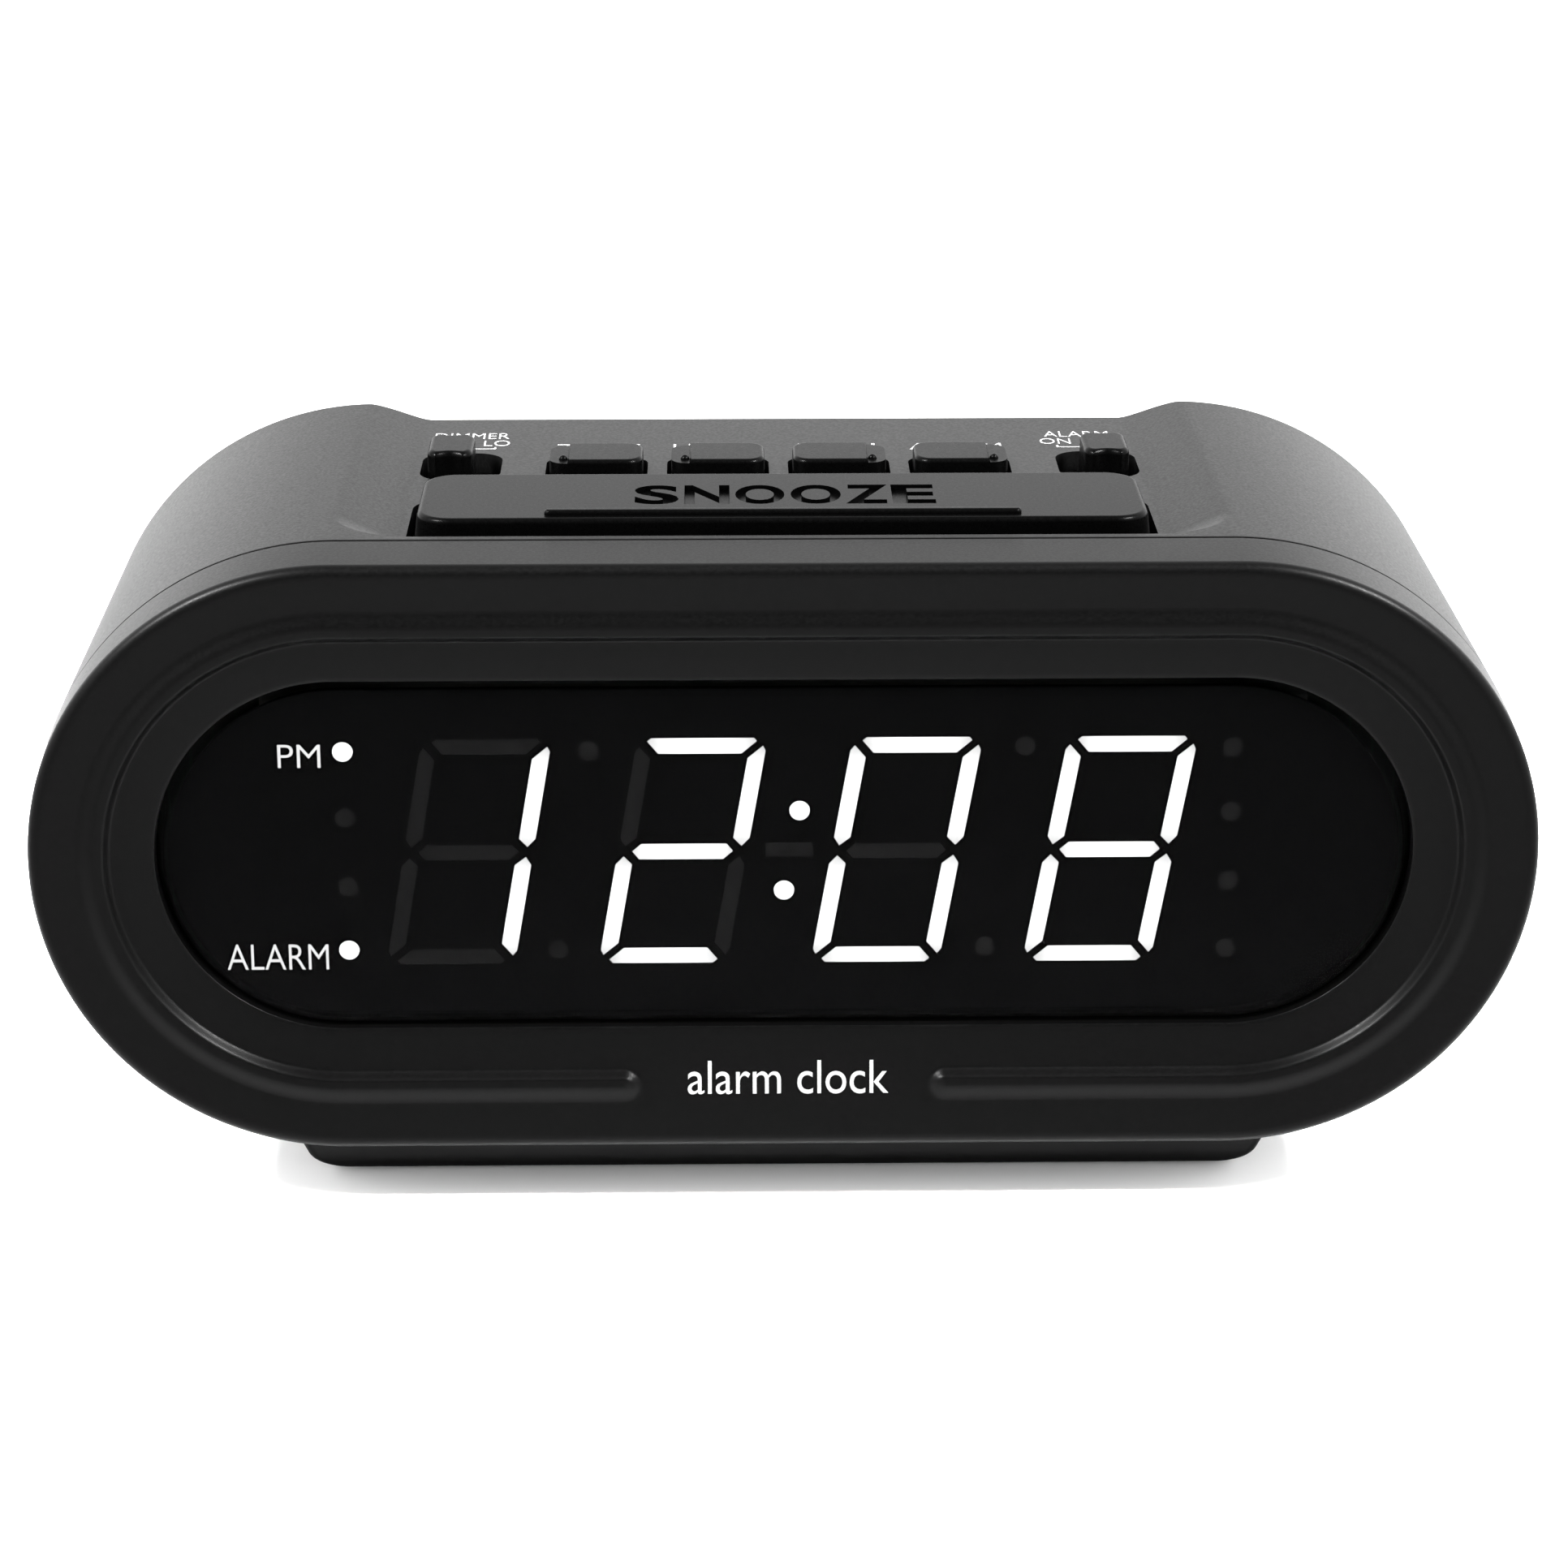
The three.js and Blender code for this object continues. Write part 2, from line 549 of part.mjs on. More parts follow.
function slideSwitch(side) {
  const x = side * SLOT_X;
  const body = box(x - 4.4, x + 4.4, SLOT_Y - 2.3, SLOT_Y + 2.3, BOARD_TOP + GAP, SWITCH_TOP - 0.6);
  const slot = box(x - 2.3, x + 2.3, SLOT_Y - 1, SLOT_Y + 1, SWITCH_WELL, SWITCH_TOP);
  return cut(solid(body), slot);
}

function slideLever(side) {
  const x = side * (SLOT_X + KNOB_SHIFT);
  return solid(box(x - 0.75, x + 0.75, SLOT_Y - 0.7, SLOT_Y + 0.7, SWITCH_WELL + GAP, PLUNGER_HIGH));
}

function slideKnob(side) {
  const x = side * (SLOT_X + KNOB_SHIFT);
  const outline = (inset) => rectAbout(x, SLOT_Y, KNOB_HALF_X - inset, KNOB_HALF_Y - inset, 1.1);
  const grip = loft([
    [FLANGE_LOW, outline(0)],
    [KNOB_TOP - 0.7, outline(0)],
    [KNOB_TOP - 0.2, outline(0.25)],
    [KNOB_TOP, outline(0.7)],
  ]);
  const flange = box(x - 5.7, x + 5.7, SLOT_Y - 5.6, SLOT_Y + 5.6, FLANGE_LOW, FLANGE_HIGH);
  return join(grip, flange);
}

// ---- Electronics ----
const PANEL_BACK = PANEL_Y + BOARD_T + 0.2;

function chip(x, z, halfX, halfZ, thick) {
  return solid(box(x - halfX, x + halfX, PANEL_BACK, PANEL_BACK + thick, z - halfZ, z + halfZ));
}

function can(x, z, r, length) {
  const [front, back] = [PANEL_BACK, PANEL_BACK + length];
  return solid(turnedY(x, z, [[0, front], [r, front], [r, back - 0.5], [r - 0.5, back], [0, back]]));
}

function crystal(x, z) {
  const quarter = Math.PI / 2;
  const right = arc(x + 2.6, z, 2.2, -quarter, quarter, 6);
  const left = arc(x - 2.6, z, 2.2, quarter, 3 * quarter, 6);
  return solid(plateY([...right, ...left], PANEL_BACK, PANEL_BACK + 3.4));
}

// A flat flexible cable that leaves the display board backwards and bends up to the key board.
function ribbonCable() {
  const [start, height, bend, thick] = [PANEL_BACK, 9, 6, 0.8];
  const end = BOARD_TOP - BOARD_T - GAP;
  const corner = start + 5;
  const points = [
    [start, height - thick],
    ...arc(corner, height + bend, bend + thick, -Math.PI / 2, 0, 8),
    [corner + bend + thick, end],
    [corner + bend, end],
    ...arc(corner, height + bend, bend, 0, -Math.PI / 2, 8),
    [start, height],
  ];
  const shape = new THREE.Shape(points.map(([y, z]) => new THREE.Vector2(y, z)));
  const strip = new THREE.ExtrudeGeometry(shape, { depth: 14, bevelEnabled: false });
  return solid(strip.rotateX(Math.PI / 2).rotateZ(Math.PI / 2).translate(4, 0, 0));
}

function buzzer() {
  const [front, back] = [49.5, DEPTH - WALL - GAP];
  const { x, z, r } = BUZZER;
  const edge = 0.8;
  const sunk = back - 1.2;
  const rim = [[0, front], [r - edge, front], [r, front + edge], [r, back]];
  const profile = [...rim, [4, back], [4, sunk], [0, sunk]];
  return solid(turnedY(x, z, profile, 24));
}

function dcJack() {
  const body = box(JACK.x - 4.6, JACK.x + 4.6, 46, DEPTH - WALL - GAP, JACK.z - 5.4, JACK.z + 5.4);
  const nose = rodY(JACK.x, JACK.z, 4, DEPTH - WALL - 1, DEPTH - GAP);
  return cut(join(body, nose), rodY(JACK.x, JACK.z, 2.9, DEPTH - 10, DEPTH + 1));
}

function jackPin() {
  const [back, front] = [DEPTH - 1.2, DEPTH - 9.7];
  const profile = [[0, front], [1, front], [1, back - 0.5], [0.5, back], [0, back]];
  return solid(turnedY(JACK.x, JACK.z, profile, 12));
}

// ---- Batteries ----
function cell(y) {
  const cap = rodX(y, CELL_Z, CELL_R, -CELL_HALF, CELL_HALF - 1, 20);
  return join(cap, rodX(y, CELL_Z, 1.9, CELL_HALF - 1.5, CELL_HALF, 12));
}

function contactPlate(y) {
  return solid(box(CELL_HALF + GAP, CELL_HALF + GAP + 0.4, y - 3.5, y + 3.5, CELL_Z - 4, CELL_Z + 4));
}

// A conical spring: its coils narrow from the case wall to the cell's end.
class ConeHelix extends THREE.Curve {
  constructor(y) {
    super();
    this.y = y;
  }

  getPoint(t, target = new THREE.Vector3()) {
    const a = 2 * Math.PI * 2.75 * t;
    const r = 3.6 - 1.5 * t;
    const x = BAY.left + 0.7 + t * (-BAY.left - CELL_HALF - 1.5);
    return target.set(x, this.y + r * Math.cos(a), CELL_Z + r * Math.sin(a));
  }
}

function contactSpring(y) {
  const section = arc(0, 0, 0.35, 0, (Math.PI * 8) / 5, 4).map(([u, v]) => new THREE.Vector2(u, v));
  const options = { steps: 26, extrudePath: new ConeHelix(y), bevelEnabled: false };
  return solid(new THREE.ExtrudeGeometry(new THREE.Shape(section), options));
}

function batteryDoor() {
  const { halfX, front, top, lipHalfX, lipLow } = DOOR;
  const plate = box(-halfX, halfX, front, DEPTH - 0.1, PLINTH_FOOT, top);
  const lips = box(-lipHalfX, lipHalfX, front, DEPTH - 0.1, lipLow, top);
  const grips = [0, 1, 2, 3].map((k) => {
    const back = DEPTH - 5.2 - 2 * k;
    return box(-6, 6, back - 0.8, back, PLINTH_FOOT - 1, PLINTH_FOOT + 0.5);
  });
  return cut(join(plate, lips), ...grips);
}

// ---- Fasteners and feet ----
function caseScrew([x, z]) {
  const head = DEPTH - 0.4;
  const seat = head - 1.6;
  const shank = [[0, 47], [1, 47], [1.4, 48], [1.4, seat]];
  const profile = [...shank, [2.8, seat], [2.8, head - 0.5], [2.2, head], [0, head]];
  const arm = 1.7;
  const slots = [box(x - arm, x + arm, head - 0.8, head + 1, z - 0.3, z + 0.3)];
  slots.push(box(x - 0.3, x + 0.3, head - 0.8, head + 1, z - arm, z + arm));
  return cut(solid(turnedY(x, z, profile)), ...slots);
}

function panelScrew(side) {
  const seat = PANEL_BACK;
  const head = seat + 1.2;
  const profile = [[0, 8], [0.95, 8], [0.95, seat], [2.3, seat], [2.3, head], [0, head]];
  return solid(turnedY(side * PANEL_SCREW_X, 0, profile, 12));
}

function boardScrew(side) {
  const seat = BOARD_TOP - BOARD_T - 0.2;
  const tip = ROOF - 1.1;
  const profile = [[0, seat - 1.2], [2.3, seat - 1.2], [2.3, seat], [0.95, seat], [0.95, tip], [0, tip]];
  const points = profile.map(([r, z]) => new THREE.Vector2(r, z));
  const screw = new THREE.LatheGeometry(points, 12).rotateX(Math.PI / 2);
  return solid(screw.translate(side * BOARD_SCREW.x, BOARD_SCREW.y, 0));
}

function foot([x, y]) {
  return solid(rodZ(x, y, FOOT_R, PLINTH_FOOT - FOOT_STAND, PLINTH_FOOT + 0.6, 20));
}

// ---- Assembly ----
const LOOKS = {
  blackPlastic: { color: 0x232324, roughness: 0.55, metalness: 0 },
  controlPlastic: { color: 0x1c1c1d, roughness: 0.45, metalness: 0 },
  smokedLens: { color: 0x101011, roughness: 0.12, metalness: 0 },
  mask: { color: 0x0b0b0b, roughness: 0.8, metalness: 0 },
  diffuser: { color: 0xf2f2ee, roughness: 0.6, metalness: 0 },
  reflector: { color: 0xe8e8e4, roughness: 0.5, metalness: 0 },
  board: { color: 0x1f5a34, roughness: 0.5, metalness: 0 },
  component: { color: 0x18181a, roughness: 0.4, metalness: 0 },
  steel: { color: 0xb8babd, roughness: 0.3, metalness: 1 },
  cellWrap: { color: 0x3b4f66, roughness: 0.35, metalness: 0 },
  flex: { color: 0xc9c6bd, roughness: 0.5, metalness: 0 },
  rubber: { color: 0x151515, roughness: 0.9, metalness: 0 },
};

const caseFrame = new THREE.Group();

function add(name, body, look) {
  const { vertProperties, triVerts } = body.getMesh();
  const geometry = new THREE.BufferGeometry();
  geometry.setAttribute("position", new THREE.BufferAttribute(vertProperties, 3));
  geometry.setIndex(new THREE.BufferAttribute(triVerts, 1));
  geometry.computeVertexNormals();
  const mesh = new THREE.Mesh(geometry, new THREE.MeshStandardMaterial(LOOKS[look]));
  mesh.name = name;
  caseFrame.add(mesh);
}

const SIDES = [["left", -1], ["right", 1]];

add("front_bezel", frontBezel(), "blackPlastic");
add("rear_shell", rearShell(), "blackPlastic");
add("display_window", displayWindow(), "smokedLens");
add("segment_mask", segmentMask(), "mask");
add("diffuser_sheet", diffuserSheet(), "diffuser");
add("reflector_block", reflectorBlock(), "reflector");
add("display_board", displayBoard(), "board");
add("clock_chip", chip(-14, -2, 9, 3.8, 2.4), "component");
add("voltage_regulator", chip(-42, 6, 5, 4.2, 4.4), "component");
add("clock_crystal", crystal(4, -8), "steel");
add("supply_capacitor", can(36, 4, 4, 11), "component");
add("filter_capacitor", can(24, -7, 2.5, 7), "component");
add("ribbon_cable", ribbonCable(), "flex");
add("key_board", keyBoard(), "board");
add("snooze_bar", snoozeBar(), "controlPlastic");
for (const [word, side] of SIDES) {
  add(`snooze_switch_${word}`, pushSwitch(side * BAR_POST_X, BAR_POST_Y), "component");
  add(`snooze_plunger_${word}`, plunger(side * BAR_POST_X, BAR_POST_Y), "component");
  add(`display_screw_${word}`, panelScrew(side), "steel");
  add(`key_board_screw_${word}`, boardScrew(side), "steel");
}
KEY_PLACES.forEach((x, k) => {
  add(`${KEY_NAMES[k]}_key`, key(x), "controlPlastic");
  add(`${KEY_NAMES[k]}_switch`, pushSwitch(x, KEY_Y), "component");
  add(`${KEY_NAMES[k]}_plunger`, plunger(x, KEY_Y), "component");
});
for (const [word, side] of [["dimmer", -1], ["alarm", 1]]) {
  add(`${word}_slide_switch`, slideSwitch(side), "component");
  add(`${word}_slide_lever`, slideLever(side), "component");
  add(`${word}_knob`, slideKnob(side), "controlPlastic");
}
add("buzzer", buzzer(), "component");
add("dc_jack", dcJack(), "component");
add("dc_jack_pin", jackPin(), "steel");
add("battery_door", batteryDoor(), "blackPlastic");
CELL_Y.forEach((y, k) => {
  add(`backup_cell_${k + 1}`, cell(y), "cellWrap");
  add(`contact_plate_${k + 1}`, contactPlate(y), "steel");
  add(`contact_spring_${k + 1}`, contactSpring(y), "steel");
});
POSTS.forEach((place, k) => add(`case_screw_${k + 1}`, caseScrew(place), "steel"));
FOOT_PLACES.forEach((place, k) => add(`rubber_foot_${k + 1}`, foot(place), "rubber"));

caseFrame.position.set(0, -DEPTH / 2, FOOT_STAND - PLINTH_FOOT);
const clock = new THREE.Group();
clock.add(caseFrame);

export default clock;
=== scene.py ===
"""The alarm clock's looks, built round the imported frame.

Shapes are drawn in millimetres in the case's own frame, whose origin is on the long axis of the
pill-shaped front: X to the right, Y back from the front plane, Z up. TO_ROW takes them to metres.
"""
import math

import bmesh
import bpy
from mathutils import Matrix, Vector


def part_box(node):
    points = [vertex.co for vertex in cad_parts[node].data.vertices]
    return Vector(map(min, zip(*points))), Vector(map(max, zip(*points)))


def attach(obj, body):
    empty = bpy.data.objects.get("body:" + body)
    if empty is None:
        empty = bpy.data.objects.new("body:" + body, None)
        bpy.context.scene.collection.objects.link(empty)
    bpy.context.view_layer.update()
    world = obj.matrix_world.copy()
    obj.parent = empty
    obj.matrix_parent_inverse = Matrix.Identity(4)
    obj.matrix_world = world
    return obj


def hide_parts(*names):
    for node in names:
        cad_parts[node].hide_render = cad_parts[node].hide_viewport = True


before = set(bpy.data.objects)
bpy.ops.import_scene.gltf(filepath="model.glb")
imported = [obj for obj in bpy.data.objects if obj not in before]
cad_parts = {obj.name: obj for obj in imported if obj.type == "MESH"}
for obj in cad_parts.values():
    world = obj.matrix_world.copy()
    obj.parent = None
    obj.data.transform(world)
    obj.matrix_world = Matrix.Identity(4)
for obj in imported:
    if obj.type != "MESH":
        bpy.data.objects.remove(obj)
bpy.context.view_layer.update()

# ---- Driving dimensions, as in the CAD unless a comment says otherwise ----
CASE_SPAN = 42.55
CASE_R = 29.74
FACE_R = 29.46
EDGE_R = 1.05
DEPTH = 61.7
SEAM = 8
GAP = 0.3
WALL = 2.2
WINDOW_R = 17.6
DISH = 2.2
LIP_BACK = 3.9
PLINTH_FOOT = -35.2
FOOT_STAND = 0.6
SHELL_FRONT = SEAM + GAP
INNER_R = CASE_R - WALL

TRAY_FLOOR = 27.7
TRAY_FRONT = 9.6
TRAY_HALF_TOP = 43.05
TRAY_HALF_FLOOR = 37.2
ROOF = TRAY_FLOOR - WALL

BAR_HALF = 35.5
BAR_FRONT = 12.6
BAR_BACK = 29.3
BAR_TOP = 30.5
BAR_GAP = 0.5
BAR_POST_X = 20
BAR_POST_Y = (BAR_FRONT + BAR_BACK) / 2

KEY_PLACES = {"time": -18.55, "hour": -6.18, "minute": 6.18, "alarm": 18.55}
KEY_Y = 41.6
KEY_HALF_X = 4.85
KEY_HALF_Y = 3.7
KEY_TOP = 29.5
KEY_GAP = 0.35

# The slots are longer to the back than the CAD's and the knobs are a little narrower.
SLOT_X = 32.4
SLOT_Y = 42.45
SLOT_HALF_X = 4.1
SLOT_HALF_Y = 5.25
SLOT_R = 2.8
SLOT_FLANGE_HALF_Y = 6
ALARM_SLOT_SHIFT = 0.3
KNOB_HALF_X = 2.3
KNOB_HALF_Y = 4.0
KNOB_Y = 42.1
KNOB_TOP = 30.3
KNOB_SHIFT = 0.95
FLANGE_LOW = 24.2
FLANGE_HIGH = ROOF - GAP
BOARD_TOP = 19.3

DIGIT_PITCH = 20.54
DIGIT_FIRST = -30.35
DIGIT_Z = -0.35
SLANT = 0.173
MASK_FRONT = 4.35

POSTS = [(-51.7, -20.2), (51.7, -20.2), (-51.7, 20.2), (51.7, 20.2)]
POST_BACK = 57
PANEL_Y = 15.5
PANEL_SCREW_X = 64.5
BOARD_SCREW = (26, 33.6)
BAY = {"left": -27, "right": 24.2, "front": 31.5, "back": 56, "roof": -22.3}
DOOR = {"half": 26.7, "front": 29, "top": -33.6, "lip_half": 28.2, "lip_low": -34.4}
CELL_R = 5.1
CELL_HALF = 21.9
CELL_Z = -27.85
CELL_Y = [37.9, 49.6]
FEET = [(-38, 15.5), (38, 15.5), (-38, 54.5), (38, 54.5)]
FOOT_R = 4.5
JACK = (46, -4)
BUZZER = (-42, -2)

MM = 0.001
bezel_low, bezel_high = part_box("front_bezel")
TO_ROW = Matrix.Translation((0, bezel_low.y, (bezel_low.z + bezel_high.z) / 2)) @ Matrix.Scale(MM, 4)
HALF_PI = math.pi / 2


# ---- Camera, lights and sky ----
def aim(obj, target):
    obj.rotation_euler = (Vector(target) - obj.location).to_track_quat("-Z", "Y").to_euler()


camera = bpy.data.objects.new("camera", bpy.data.cameras.new("camera"))
camera.data.lens = 96.99
camera.data.sensor_width = 36
CAMERA_PLACE = (-6.9, -376.6, 139.9)
LOOK_DOWN, ROLL, LOOK_RIGHT = 19.3, -0.05, -1.01
camera.location = TO_ROW @ Vector(CAMERA_PLACE)
camera.rotation_euler = (math.radians(90 - LOOK_DOWN), math.radians(ROLL), math.radians(LOOK_RIGHT))
bpy.context.scene.collection.objects.link(camera)
bpy.context.scene.camera = camera
bpy.context.scene.view_settings.view_transform = "Standard"


def soft_light(name, place, target, size, power):
    """A square lamp whose narrow spread lights the case and leaves the floor before it alone."""
    light = bpy.data.lights.new(name, "AREA")
    light.shape = "RECTANGLE"
    light.size = size
    light.size_y = size
    light.energy = power
    light.spread = math.radians(16)
    obj = bpy.data.objects.new(name, light)
    obj.location = place
    bpy.context.scene.collection.objects.link(obj)
    aim(obj, target)


for side in (-1, 1):
    soft_light(f"light_{side}", (side * 0.55, -0.26, 0.7), (0, 0.035, 0.06), 0.16, 1.0)

# The sky brightens from front to back and towards both sides.
SKY_FRONT = 0.62
SKY_BACK = 2.7
SKY_SIDES = 3.7


def sky_ramp(start, stop, low, high):
    ramp = sky.new("ShaderNodeMapRange")
    for socket, value in (("From Min", start), ("From Max", stop), ("To Min", low), ("To Max", high)):
        ramp.inputs[socket].default_value = value
    return ramp


world = bpy.data.worlds.new("studio")
world.use_nodes = True
sky = world.node_tree.nodes
sky["Background"].inputs["Color"].default_value = (1, 1, 1, 1)
way = sky.new("ShaderNodeTexCoord")
split = sky.new("ShaderNodeSeparateXYZ")
fade = sky_ramp(-0.7, 0.75, SKY_FRONT, SKY_BACK)
flanks = sky_ramp(0.2, 0.75, 0.0, SKY_SIDES)
sideways = sky.new("ShaderNodeMath")
sideways.operation = "ABSOLUTE"
total = sky.new("ShaderNodeMath")
for start, end in (
    (way.outputs["Generated"], split.inputs[0]),
    (split.outputs["Y"], fade.inputs["Value"]),
    (split.outputs["X"], sideways.inputs[0]),
    (sideways.outputs[0], flanks.inputs["Value"]),
    (fade.outputs["Result"], total.inputs[0]),
    (flanks.outputs["Result"], total.inputs[1]),
    (total.outputs[0], sky["Background"].inputs["Strength"]),
):
    world.node_tree.links.new(start, end)
bpy.context.scene.world = world


# ---- Materials ----
class Look:
    """A principled material whose colour, roughness and fine relief come from noise."""

    def __init__(self, name, color, roughness, specular=0.5, metallic=0.0):
        self.material = bpy.data.materials.new(name)
        self.material.use_nodes = True
        self.nodes = self.material.node_tree.nodes
        self.links = self.material.node_tree.links
        self.shader = self.nodes["Principled BSDF"]
        self.color = color
        self.set("Base Color", (*color, 1))
        self.set("Roughness", roughness)
        self.set("Specular IOR Level", specular)
        self.set("Metallic", metallic)
        self.place = self.nodes.new("ShaderNodeTexCoord").outputs["Object"]

    def set(self, socket, value):
        self.shader.inputs[socket].default_value = value
        return self

    def node(self, kind, **inputs):
        node = self.nodes.new("ShaderNode" + kind)
        for key, value in inputs.items():
            node.inputs[key.replace("_", " ")].default_value = value
        return node

    def noise(self, size, detail=3.0):
        """Noise with features of about size millimetres."""
        node = self.node("TexNoise", Scale=1 / (size * MM), Detail=detail)
        self.links.new(self.place, node.inputs["Vector"])
        return node.outputs["Fac"]

    def spread(self, value, low, high, start=0.35, stop=0.65):
        node = self.node("MapRange")
        self.links.new(value, node.inputs["Value"])
        for key, number in (("From Min", start), ("From Max", stop), ("To Min", low), ("To Max", high)):
            node.inputs[key].default_value = number
        return node.outputs["Result"]

    def blend(self, factor, first, second):
        node = self.nodes.new("ShaderNodeMix")
        node.data_type = "RGBA"
        for socket, value in zip((node.inputs[6], node.inputs[7]), (first, second)):
            if isinstance(value, tuple):
                socket.default_value = (*value, 1)
            else:
                self.links.new(value, socket)
        self.links.new(factor, node.inputs[0])
        return node.outputs[2]

    def mottle(self, size, low=0.8, high=1.2):
        tones = [tuple(c * k for c in self.color) for k in (low, high)]
        factor = self.spread(self.noise(size), 0, 1)
        self.links.new(self.blend(factor, *tones), self.shader.inputs["Base Color"])
        return self

    def wear(self, size, low, high):
        self.links.new(self.spread(self.noise(size), low, high), self.shader.inputs["Roughness"])
        return self

    def grain(self, size, depth, strength=1.0, detail=2.0):
        """Relief of depth millimetres with features of about size millimetres."""
        bump = self.node("Bump", Strength=strength, Distance=depth * MM)
        self.links.new(self.noise(size, detail), bump.inputs["Height"])
        self.links.new(bump.outputs["Normal"], self.shader.inputs["Normal"])
        return self


def grey(value):
    return (value, value, value)


def black_plastic(name, value, roughness, specular, wear, relief):
    """Finely textured black plastic, nearly all of whose tone is reflection."""
    return Look(name, grey(value), roughness, specular).mottle(0.3).wear(0.3, *wear).grain(0.16, relief)


shell_plastic = black_plastic("shell_plastic", 0.0003, 0.46, 0.078, (0.42, 0.5), 0.008)
bezel_plastic = black_plastic("bezel_plastic", 0.0004, 0.37, 0.036, (0.34, 0.4), 0.008)
control_plastic = black_plastic("control_plastic", 0.0002, 0.3, 0.015, (0.27, 0.33), 0.006)
smoked_lens = Look("smoked_lens", grey(0.0003), 0.12, 0.018).mottle(4).wear(6, 0.1, 0.14)
smoked_lens.set("Alpha", 0.6)
mask_black = Look("mask_black", grey(0.0008), 0.8, 0.04).mottle(0.4).wear(1, 0.75, 0.85)
mask_black.grain(0.15, 0.01)
unlit = Look("unlit_segments", grey(0.05), 0.6, 0.1).mottle(1.2).wear(1, 0.5, 0.7)
diffuser_white = Look("diffuser_white", (0.86, 0.86, 0.83), 0.6, 0.3).mottle(2, 0.94, 1.05)
diffuser_white.grain(0.2, 0.01)
reflector_white = Look("reflector_white", (0.8, 0.8, 0.77), 0.45, 0.4).mottle(3, 0.94, 1.05)
reflector_white.grain(0.4, 0.01)
rubber_black = Look("rubber_black", grey(0.012), 0.85, 0.25).mottle(0.6).wear(1, 0.8, 0.95)
rubber_black.grain(0.3, 0.03)
component_black = Look("component_black", grey(0.012), 0.45, 0.4).mottle(0.5).wear(0.8, 0.38, 0.55)
component_black.grain(0.12, 0.01)
plated_steel = Look("plated_steel", (0.6, 0.61, 0.63), 0.25, 0.5, 1.0)
plated_steel.mottle(1.5, 0.9, 1.08).wear(0.8, 0.2, 0.34)
screw_steel = Look("screw_steel", grey(0.17), 0.34, 0.5, 1.0).mottle(0.8, 0.85, 1.15)
screw_steel.wear(0.6, 0.28, 0.42)
print_white = Look("print_white", grey(0.1), 0.5, 0.2).mottle(0.15, 0.85, 1.1).wear(0.3, 0.45, 0.6)
print_silver = Look("print_silver", grey(0.14), 0.4, 0.3).mottle(0.15, 0.8, 1.15).wear(0.3, 0.3, 0.5)


def board_look():
    """A circuit board: green lacquer crossed by paler copper tracks."""
    look = Look("circuit_board", (0.012, 0.09, 0.035), 0.35, 0.5).wear(2, 0.3, 0.42)
    tracks = look.node("TexBrick", Scale=220.0)
    tracks.inputs["Mortar Size"].default_value = 0.03
    look.links.new(look.place, tracks.inputs["Vector"])
    bands = look.spread(tracks.outputs["Fac"], 0, 1, 0, 1)
    green = look.blend(look.spread(look.noise(4), 0, 1), (0.01, 0.075, 0.03), (0.014, 0.1, 0.04))
    look.links.new(look.blend(bands, green, (0.03, 0.17, 0.07)), look.shader.inputs["Base Color"])
    return look


def wrap_look():
    """A battery's printed sleeve: a dark body with a paler band at the raised terminal's end."""
    look = Look("cell_wrap", (0.02, 0.045, 0.09), 0.3, 0.5).wear(2, 0.22, 0.36)
    split = look.nodes.new("ShaderNodeSeparateXYZ")
    look.links.new(look.place, split.inputs[0])
    band = look.spread(split.outputs["X"], 0, 1, 0.0125, 0.0128)
    dark = look.blend(look.spread(look.noise(1.5), 0, 1), (0.018, 0.04, 0.08), (0.022, 0.05, 0.1))
    look.links.new(look.blend(band, dark, (0.32, 0.34, 0.35)), look.shader.inputs["Base Color"])
    return look


def cable_look():
    """A flat cable: pale film with dark conductors along it."""
    film = (0.55, 0.53, 0.48)
    conductor = (0.16, 0.15, 0.14)
    look = Look("flex_cable", film, 0.45, 0.4).wear(1, 0.38, 0.5)
    wave = look.node("TexWave", Scale=160.0, Distortion=0.0)
    look.links.new(look.place, wave.inputs["Vector"])
    lines = look.spread(wave.outputs["Fac"], 0, 1, 0.7, 0.8)
    look.links.new(look.blend(lines, film, conductor), look.shader.inputs["Base Color"])
    return look


def lit_look(name, strength, dim):
    """Lit plastic, whose brightness follows the mesh's own attribute named glow."""
    look = Look(name, grey(0.8), 0.5, 0.2).mottle(0.8, 0.95, 1.05)
    glow = look.nodes.new("ShaderNodeAttribute")
    glow.attribute_name = "glow"
    tone = look.blend(glow.outputs["Fac"], grey(dim), grey(1.0))
    look.links.new(tone, look.shader.inputs["Emission Color"])
    return look.set("Emission Strength", strength)


circuit_board = board_look()
cell_wrap = wrap_look()
flex_cable = cable_look()
lit = lit_look("lit_segments", 8.6, 0.42)
legend = lit_look("lit_legend", 5.0, 0.9)


# ---- Shapes ----
def arc(cx, cy, r, start, stop, steps):
    angles = [start + (stop - start) * i / steps for i in range(steps + 1)]
    return [(cx + r * math.cos(a), cy + r * math.sin(a)) for a in angles]


def pill(r, lift=0.0, steps=72):
    right = arc(CASE_SPAN, lift, r, -HALF_PI, HALF_PI, steps)
    return right + arc(-CASE_SPAN, lift, r, HALF_PI, 3 * HALF_PI, steps)


def rounded_rect(x0, x1, y0, y1, r, steps=10):
    corners = [(x1 - r, y1 - r), (x0 + r, y1 - r), (x0 + r, y0 + r), (x1 - r, y0 + r)]
    points = []
    for i, (x, y) in enumerate(corners):
        points += arc(x, y, r, i * HALF_PI, (i + 1) * HALF_PI, steps)
    return points


def rect_about(x, y, half_x, half_y, r, steps=10):
    return rounded_rect(x - half_x, x + half_x, y - half_y, y + half_y, r, steps)


